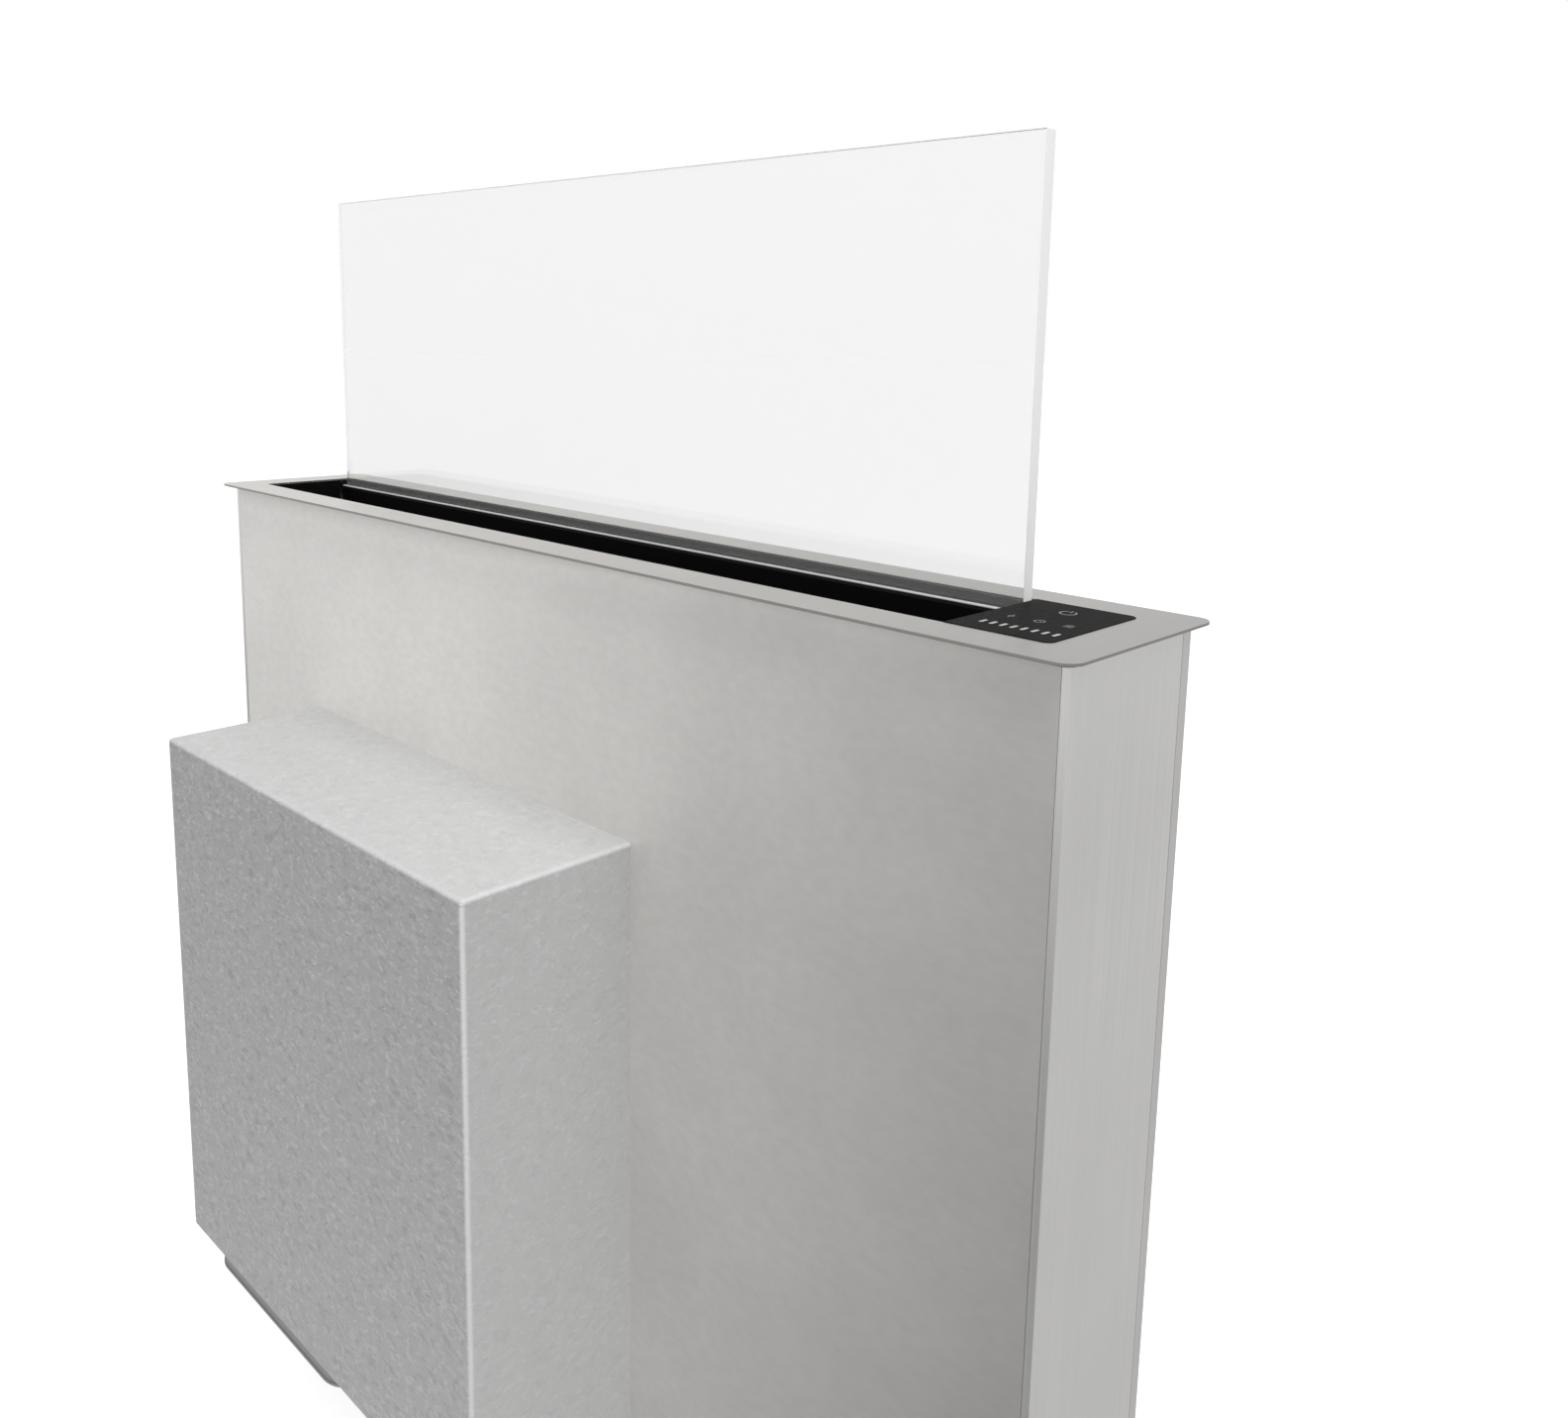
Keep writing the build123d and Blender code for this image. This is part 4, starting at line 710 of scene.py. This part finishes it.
def finish_piece(
    name: str,
    mesh: bmesh.types.BMesh,
    body: str,
    finishes: list[Finish],
    smooth: bool = False,
) -> bpy.types.Object:
    """Turns a bmesh into a piece of the object.

    Args:
        name: The piece's name.
        mesh: The bmesh, which is freed.
        body: The CAD body that it rides on.
        finishes: The finishes, in the order of its faces' material indices.
        smooth: Whether faces that meet at a small angle are shaded as one.

    Returns:
        The new object, at the origin.
    """
    bmesh.ops.remove_doubles(mesh, verts=mesh.verts, dist=MERGE_DISTANCE)
    bmesh.ops.recalc_face_normals(mesh, faces=mesh.faces)
    if smooth:
        for face in mesh.faces:
            face.smooth = True
        for edge in mesh.edges:
            edge.smooth = edge.calc_face_angle(math.pi) < SMOOTH_ANGLE
    data = bpy.data.meshes.new(name)
    mesh.to_mesh(data)
    mesh.free()
    for finish in finishes:
        data.materials.append(finish.material())
    piece = bpy.data.objects.new(name, data)
    bpy.context.scene.collection.objects.link(piece)
    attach(piece, body)
    LOG.info("%s: %d faces on %s", name, len(data.polygons), body)
    return piece


def add_block(mesh: bmesh.types.BMesh, low: Vector, high: Vector) -> list[bmesh.types.BMVert]:
    """Adds a block between two corners and returns its vertices."""
    matrix = Matrix.Translation((low + high) / 2) @ Matrix.Diagonal((*(high - low), 1.0))
    return bmesh.ops.create_cube(mesh, size=1.0, matrix=matrix)["verts"]


def edges_of(verts: list[bmesh.types.BMVert]) -> list[bmesh.types.BMEdge]:
    """Every edge that joins two of the given vertices."""
    chosen = set(verts)
    return list({edge for vert in verts for edge in vert.link_edges if set(edge.verts) <= chosen})


def soften(
    mesh: bmesh.types.BMesh, edges: list[bmesh.types.BMEdge], width: float, steps: int
) -> None:
    """Rounds edges by a width in a number of steps."""
    bmesh.ops.bevel(
        mesh, geom=edges, offset=width, segments=steps, profile=0.5, affect="EDGES", material=-1
    )


def add_stroke(
    mesh: bmesh.types.BMesh, centre: Vector, radius: float, width: float, arc: Span = FULL_CIRCLE
) -> None:
    """Adds a flat arc of an even width, drawn by turning a short line round a centre.

    Args:
        mesh: The bmesh that it is added to.
        centre: The middle of the arc.
        radius: The arc's radius at the middle of its width.
        width: Its width.
        arc: The angle where it starts, from +X, and how far it turns, in degrees.
    """
    start, sweep = arc
    angle = math.radians(start)
    towards = Vector((math.cos(angle), math.sin(angle), 0.0))
    ends = [mesh.verts.new(centre + towards * (radius + width * side / 2)) for side in (-1, 1)]
    line = mesh.edges.new(ends)
    bmesh.ops.spin(
        mesh,
        geom=[*ends, line],
        cent=centre,
        axis=(0.0, 0.0, 1.0),
        angle=math.radians(sweep),
        steps=max(LEAST_STEPS, round(sweep / STEP_ANGLE)),
        use_merge=arc == FULL_CIRCLE,
    )


def thicken(mesh: bmesh.types.BMesh, height: float) -> None:
    """Gives every flat face of a mesh a thickness upwards."""
    made = bmesh.ops.extrude_face_region(mesh, geom=list(mesh.faces))["geom"]
    raised = [part for part in made if isinstance(part, bmesh.types.BMVert)]
    bmesh.ops.translate(mesh, verts=raised, vec=(0.0, 0.0, height))


# ---------------------------------------------------------------- sub-assemblies


@dataclass
class TopFrame:
    """The flat frame on the worktop with the black trough under its slot."""

    plate: str = "frame_plate"
    seal: str = "worktop_seal"
    trough: list[str] = field(default_factory=lambda: ["slot_liner", "rear_liner", "filter_rail"])

    def build(self) -> None:
        """Dresses the plate, its seal and the trough."""
        dress([self.plate], FRAME_STEEL)
        dress([self.seal], RUBBER)
        dress(self.trough, BLACK_SHEET)


@dataclass
class GlassScreen:
    """The glass with its polished edges, and the carriage that carries it."""

    bevel: float = 0.7 * MM
    bevel_steps: int = 2
    flat: float = 0.99
    body: str = "glass_carriage"

    def pane(self) -> bpy.types.Object:
        """Makes the pane, clear on its two faces and ground along its edges."""
        low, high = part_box("glass_pane")
        mesh = bmesh.new()
        add_block(mesh, low, high)
        soften(mesh, list(mesh.edges), self.bevel, self.bevel_steps)
        for face in mesh.faces:
            face.normal_update()
            face.material_index = 0 if abs(face.normal.y) > self.flat else 1
        finishes = [PANE_GLASS, EDGE_GLASS]
        pane = finish_piece("glass_pane_polished", mesh, self.body, finishes)
        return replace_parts(pane, "glass_pane")

    def build(self) -> None:
        """Makes the pane and dresses the carriage, its sliders and its racks."""
        self.pane()
        dress(["carriage_profile"], BLACK_SHEET)
        dress(["glass_gasket"], RUBBER)
        dress(["light_strip"], DIFFUSER)
        for side in ("left", "right"):
            dress([f"slider_{side}_upper", f"slider_{side}_lower", f"rack_{side}"], NYLON)


@dataclass
class ControlPanel:
    """The touch glass with its row of level bars and its plain symbols."""

    bars: int = 8
    first_bar: Vector = field(default_factory=lambda: Vector((359.6, -25.0, 0.0)) * MM)
    bar_pitch: float = 6.17 * MM
    bar_size: Span = (2.1 * MM, 6.5 * MM)
    corner_share: float = 0.4
    corner_steps: int = 3
    symbol_row: float = -4.2 * MM
    symbol_x: Triple = (362.8 * MM, 380.0 * MM, 396.8 * MM)
    thin: float = 0.6 * MM
    line: float = 0.9 * MM
    line_share: float = 0.7
    lamp_radius: float = 1.3 * MM
    ray_length: float = 1.6 * MM
    ray_place: float = 3.0 * MM
    clock_radius: float = 2.8 * MM
    long_hand: Span = (1.8 * MM, 0.8 * MM)
    short_hand: Span = (1.4 * MM, 0.9 * MM)
    bow_radius: float = 4.2 * MM
    bow_arc: Span = (55.0, 70.0)
    bow_pitch: float = 1.9 * MM
    bow_drop: float = 3.0 * MM
    switch: Vector = field(default_factory=lambda: Vector((379.4, 24.5, 0.0)) * MM)
    switch_radius: float = 4.4 * MM
    switch_arc: Span = (115.0, 310.0)
    switch_mark: Span = (4.0 * MM, 3.6 * MM)
    print_height: float = 0.06 * MM

    def add_bar(
        self, mesh: bmesh.types.BMesh, centre: Vector, width: float, length: float
    ) -> None:
        """Adds a flat bar with rounded corners."""
        made = bmesh.ops.create_grid(
            mesh,
            x_segments=1,
            y_segments=1,
            size=0.5,
            matrix=Matrix.Translation(centre) @ Matrix.Diagonal((width, length, 1.0, 1.0)),
        )["verts"]
        bmesh.ops.bevel(
            mesh,
            geom=made,
            offset=width * self.corner_share,
            segments=self.corner_steps,
            profile=0.5,
            affect="VERTICES",
            material=-1,
        )

    def add_lamp(self, mesh: bmesh.types.BMesh, centre: Vector) -> None:
        """Adds a ring with four rays, for the light."""
        add_stroke(mesh, centre, self.lamp_radius, self.line * self.line_share)
        for place in (-self.ray_place, self.ray_place):
            self.add_bar(mesh, centre + Vector((place, 0, 0)), self.ray_length, self.thin)
            self.add_bar(mesh, centre + Vector((0, place, 0)), self.thin, self.ray_length)

    def add_clock(self, mesh: bmesh.types.BMesh, centre: Vector) -> None:
        """Adds a ring with two hands, for the timer."""
        add_stroke(mesh, centre, self.clock_radius, self.line * self.line_share)
        length, place = self.long_hand
        self.add_bar(mesh, centre + Vector((0, place, 0)), self.thin, length)
        length, place = self.short_hand
        self.add_bar(mesh, centre + Vector((place, 0, 0)), length, self.thin)

    def add_filter(self, mesh: bmesh.types.BMesh, centre: Vector) -> None:
        """Adds three bowed lines, for the filters."""
        for step in (-1, 0, 1):
            place = centre + Vector((0, step * self.bow_pitch - self.bow_drop, 0))
            add_stroke(mesh, place, self.bow_radius, self.line * self.line_share, self.bow_arc)

    def add_switch(self, mesh: bmesh.types.BMesh) -> None:
        """Adds a ring that is open at the top with a short line in the gap, for the switch."""
        add_stroke(mesh, self.switch, self.switch_radius, self.line, self.switch_arc)
        length, place = self.switch_mark
        self.add_bar(mesh, self.switch + Vector((0, place, 0)), self.line, length)

    def marks(self) -> bpy.types.Object:
        """Makes the printed marks, a little proud of the glass."""
        mesh = bmesh.new()
        for index in range(self.bars):
            place = self.first_bar + Vector((index * self.bar_pitch, 0, 0))
            self.add_bar(mesh, place, *self.bar_size)
        bars = set(mesh.faces)
        symbols = (self.add_lamp, self.add_clock, self.add_filter)
        for x, add_symbol in zip(self.symbol_x, symbols):
            add_symbol(mesh, Vector((x, self.symbol_row, 0)))
        self.add_switch(mesh)
        for face in mesh.faces:
            face.material_index = 0 if face in bars else 1
        bmesh.ops.remove_doubles(mesh, verts=mesh.verts, dist=MERGE_DISTANCE)
        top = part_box("control_panel")[1].z
        seat = Vector((0, 0, top - self.print_height / 2))
        bmesh.ops.translate(mesh, verts=mesh.verts, vec=seat)
        thicken(mesh, self.print_height)
        return finish_piece("panel_marks", mesh, "housing", [BARS, SYMBOLS])

    def build(self) -> None:
        """Makes the marks and dresses the panel with what is under it."""
        self.marks()
        dress(["control_panel"], TOUCH_GLASS)
        dress(["control_housing"], BLACK_PLASTIC)
        dress(["control_board"], BOARD)


@dataclass
class ScrewHeads:
    """Flanged hexagon heads that stand on a sheet, all facing one way."""

    flange: float = 4.0 * MM
    flange_taper: float = 0.86
    flange_height: float = 0.8 * MM
    flange_segments: int = 28
    flange_bevel: float = 0.15 * MM
    flats: float = 5.6 * MM
    height: float = 2.4 * MM
    bevel: float = 0.3 * MM
    bevel_steps: int = 2
    sharp: float = 1.0

    def add(self, mesh: bmesh.types.BMesh, place: Vector) -> None:
        """Adds one head that faces +Y, with its seat at a place."""
        seat = Matrix.Translation(place) @ Matrix.Rotation(-math.pi / 2, 4, "X")
        washer = bmesh.ops.create_cone(
            mesh,
            cap_ends=True,
            segments=self.flange_segments,
            radius1=self.flange,
            radius2=self.flange * self.flange_taper,
            depth=self.flange_height,
            matrix=seat @ Matrix.Translation((0, 0, self.flange_height / 2)),
        )["verts"]
        rims = [edge for edge in edges_of(washer) if edge.calc_face_angle(0) > self.sharp]
        soften(mesh, rims, self.flange_bevel, self.bevel_steps)
        depth = self.height - self.flange_height
        hexagon = bmesh.ops.create_cone(
            mesh,
            cap_ends=True,
            segments=6,
            radius1=self.flats / math.sqrt(3),
            radius2=self.flats / math.sqrt(3),
            depth=depth,
            matrix=seat @ Matrix.Translation((0, 0, self.flange_height + depth / 2)),
        )["verts"]
        soften(mesh, edges_of(hexagon), self.bevel, self.bevel_steps)

    def build(self, name: str, node: str, places: list[Vector]) -> bpy.types.Object:
        """Makes the heads that stand for a CAD node.

        Args:
            name: The new piece's name.
            node: The CAD node that it replaces.
            places: Where each head sits.

        Returns:
            The piece.
        """
        mesh = bmesh.new()
        for place in places:
            self.add(mesh, place)
        heads = finish_piece(name, mesh, "housing", [SCREW_STEEL], smooth=True)
        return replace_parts(heads, node)


@dataclass
class Body:
    """The thin sheet-metal body with its feet and what closes it."""

    screw_x: tuple[float, ...] = (-330 * MM, -110 * MM, 110 * MM, 330 * MM)
    screw_inset: float = 40 * MM

    def rear_screws(self) -> None:
        """Makes the heads along the top and bottom of the rear panel."""
        low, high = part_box("rear_panel")
        rows = (high.z - self.screw_inset, low.z + self.screw_inset)
        places = [Vector((x, high.y, z)) for x in self.screw_x for z in rows]
        ScrewHeads().build("rear_screw_heads", "rear_screws", places)

    def build(self) -> None:
        """Makes the screw heads and dresses the panels and the feet."""
        dress(["front_panel"], FRONT_STEEL)
        dress(["side_channel_left", "side_channel_right"], SIDE_STEEL)
        dress(["rear_panel"], REAR_STEEL)
        dress(["bottom_plate", "partition_wall", "foot_left", "foot_right"], ZINC_SHEET)
        dress(["foot_bolts"], SCREW_STEEL)
        self.rear_screws()


@dataclass
class GreaseFilters:
    """The two lift-out cassettes with woven wire along both slopes."""

    pitch: float = 4.6 * MM
    wire: float = 0.55 * MM
    keel: float = 8.0 * MM

    def slope(self, mesh: bmesh.types.BMesh, low: Vector, high: Vector, side: int) -> None:
        """Adds one sloping net.

        Args:
            mesh: The bmesh that it is added to.
            low: The lowest corner of the cassette's mesh.
            high: Its highest corner.
            side: -1 for the front slope and 1 for the rear one.
        """
        middle = (low.y + high.y) / 2
        top = Vector((0, low.y if side < 0 else high.y, high.z))
        foot = Vector((0, middle + side * self.keel / 2, low.z))
        run = foot - top
        across = run.normalized()
        centre = Vector(((low.x + high.x) / 2, *((top + foot) / 2).yz))
        along = Vector((1, 0, 0))
        turn = Matrix((along, across, along.cross(across))).transposed().to_4x4()
        width = high.x - low.x
        scale = Matrix.Diagonal((width, run.length, 1.0, 1.0))
        net = bmesh.ops.create_grid(
            mesh,
            x_segments=round(width / self.pitch),
            y_segments=round(run.length / self.pitch),
            size=0.5,
            matrix=Matrix.Translation(centre) @ turn @ scale,
        )["verts"]
        faces = list({face for vert in net for face in vert.link_faces})
        bmesh.ops.wireframe(
            mesh,
            faces=faces,
            thickness=self.wire,
            use_replace=True,
            use_boundary=True,
            use_even_offset=True,
        )

    def net(self, side: str) -> bpy.types.Object:
        """Makes both slopes of one cassette."""
        low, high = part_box(f"filter_mesh_{side}")
        mesh = bmesh.new()
        for slope in (-1, 1):
            self.slope(mesh, low, high, slope)
        net = finish_piece(f"filter_net_{side}", mesh, f"filter_{side}", [WIRE])
        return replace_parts(net, f"filter_mesh_{side}")

    def build(self) -> None:
        """Makes the nets and dresses the frames."""
        for side in ("left", "right"):
            self.net(side)
            dress([f"filter_frame_{side}"], FILTER_STEEL)


@dataclass
class Blower:
    """The blower box with its fan, and the outlet collar with its flaps below it."""

    def build(self) -> None:
        """Dresses the box, the fan, the motor and the outlet."""
        dress(["blower_box"], BOX_COAT)
        dress(["scroll_housing", "inlet_ring", "damper_flap_front", "damper_flap_rear"], ZINC_SHEET)
        dress(["impeller"], BLACK_PLASTIC)
        dress(["motor_rotor", "motor_stator"], ENAMEL)
        dress(["blower_screws"], SCREW_STEEL)
        dress(["outlet_collar"], GREY_PLASTIC)
        dress(["damper_rod"], ROD_STEEL)


@dataclass
class LiftDrive:
    """The guides, the cross shaft and the motor of the lift, with the electrics beside them."""

    def build(self) -> None:
        """Dresses the guides, the drive and the electrics."""
        for side in ("left", "right"):
            dress([f"guide_rod_{side}"], ROD_STEEL)
            dress([f"rod_holder_{side}_upper", f"rod_holder_{side}_lower"], CAST_ALUMINIUM)
            dress([f"pinion_{side}", f"shaft_bearing_{side}"], NYLON)
        dress(["drive_shaft"], ROD_STEEL)
        dress(["lift_gearbox"], CAST_ALUMINIUM)
        dress(["lift_motor"], ENAMEL)
        dress(["limit_switches", "electronics_box", "cable_gland"], BLACK_PLASTIC)


# ---------------------------------------------------------------- studio


@dataclass(frozen=True)
class SoftLamp:
    """A square soft lamp that looks at the object."""

    name: str
    place: Triple
    side: float
    watts: float
    target: Triple = (0.0, 0.0, -0.3)

    def build(self) -> None:
        """Makes the lamp."""
        data = bpy.data.lights.new(self.name, "AREA")
        data.shape = "SQUARE"
        data.size = self.side
        data.energy = self.watts
        lamp = bpy.data.objects.new(self.name, data)
        bpy.context.scene.collection.objects.link(lamp)
        lamp.location = self.place
        aim = Vector(self.target) - Vector(self.place)
        lamp.rotation_euler = aim.to_track_quat("-Z", "Y").to_euler()


@dataclass
class Studio:
    """A pale floor, a white world and a soft lamp, with the camera of the photograph."""

    ambient: float = 0.6
    mirrored: Span = (1.0, 0.6)
    floor_side: float = 80.0
    floor_gap: float = 0.2 * MM
    floor_colour: Colour = (0.55, 0.55, 0.55)
    floor_roughness: float = 0.9
    floor_light: float = 0.8
    floor_through: float = 0.67
    floor_fade: Span = (0.8, 4.0)
    floor_sides: Span = (-3.0, 3.0)
    camera_place: Triple = (0.7292, -0.5679, 0.1445)
    camera_turn: Triple = (81.02, -1.16, 43.44)
    lens: float = 29.72
    shift: float = -0.1083
    nearest: float = 0.01
    lamps: tuple[SoftLamp, ...] = (SoftLamp("lamp_above", (1.3, -0.48, 1.95), 1.6, 58.0),)

    def ray_light(self, shader: Shader, levels: dict[str, float | Socket]) -> Socket:
        """A strength of 0 for diffuse light, and of a level of its own for other rays.

        Args:
            shader: The shader that the nodes are added to.
            levels: The strength for each kind of ray, under its Light Path name. A ray of two
                kinds takes the higher.

        Returns:
            The strength.
        """
        path = shader.node("LightPath")
        shares = [
            shader.maths("MULTIPLY", path.outputs[name], level) for name, level in levels.items()
        ]
        return shader.fold("MAXIMUM", shares)

    def world(self) -> None:
        """Makes a world that looks white, mirrors a brighter left and lights the object less."""
        world = bpy.data.worlds.new("white_world")
        world.use_nodes = True
        sky = Shader.around(world.node_tree)
        across = sky.axes(sky.node("TexCoord").outputs["Generated"])["X"]
        mirrored = sky.spread(across, *self.mirrored, (-1.0, 1.0))
        seen = {"Is Camera Ray": 1.0, "Is Transmission Ray": 1.0, "Is Glossy Ray": mirrored}
        strength = sky.maths("MAXIMUM", self.ray_light(sky, seen), self.ambient)
        shade = world.node_tree.nodes["Background"]
        shade.inputs["Color"].default_value = (*WHITE, 1.0)
        sky.feed(shade.inputs["Strength"], strength)
        bpy.context.scene.world = world

    def floor(self) -> None:
        """Makes the floor under the feet, pale to light and white to look at."""
        mesh = bmesh.new()
        level = CAD_BOX[0].z - self.floor_gap
        bmesh.ops.create_grid(
            mesh,
            x_segments=1,
            y_segments=1,
            size=self.floor_side / 2,
            matrix=Matrix.Translation((0, 0, level)),
        )
        data = bpy.data.meshes.new("floor")
        mesh.to_mesh(data)
        mesh.free()
        floor = bpy.data.objects.new("floor", data)
        bpy.context.scene.collection.objects.link(floor)
        shader = Shader("pale_floor")
        place = shader.position()
        away = shader.node("VectorMath", operation="LENGTH")
        shader.feed(away.inputs["Vector"], place)
        far = shader.spread(away.outputs["Value"], 0.0, self.floor_through, self.floor_fade)
        side = shader.spread(shader.axes(place)["X"], *self.mirrored, self.floor_sides)
        levels = {
            "Is Camera Ray": self.floor_light,
            "Is Transmission Ray": self.floor_through,
            "Is Glossy Ray": shader.maths("MULTIPLY", far, side),
        }
        shader.set(
            Base_Color=self.floor_colour,
            Roughness=self.floor_roughness,
            Specular_IOR_Level=0.0,
            Emission_Color=WHITE,
            Emission_Strength=self.ray_light(shader, levels),
        )
        data.materials.append(shader.material)

    def camera(self) -> None:
        """Makes the camera where the photograph was taken from."""
        data = bpy.data.cameras.new("camera")
        data.lens = self.lens
        data.shift_y = self.shift
        data.clip_start = self.nearest
        camera = bpy.data.objects.new("camera", data)
        bpy.context.scene.collection.objects.link(camera)
        camera.location = self.camera_place
        camera.rotation_euler = Euler([math.radians(angle) for angle in self.camera_turn])
        bpy.context.scene.camera = camera

    def build(self) -> None:
        """Makes the world, the floor, the lamps and the camera."""
        self.world()
        self.floor()
        self.camera()
        for lamp in self.lamps:
            lamp.build()
        bpy.context.scene.view_settings.view_transform = "Standard"


def main() -> None:
    """Builds each sub-assembly, then the studio."""
    logging.basicConfig(level=logging.INFO, format="%(name)s %(message)s")
    parts = (TopFrame, GlassScreen, ControlPanel, Body, GreaseFilters, Blower, LiftDrive)
    for part in parts:
        LOG.info("building %s", part.__name__)
        part().build()
    Studio().build()


if __name__ == "__main__":
    main()
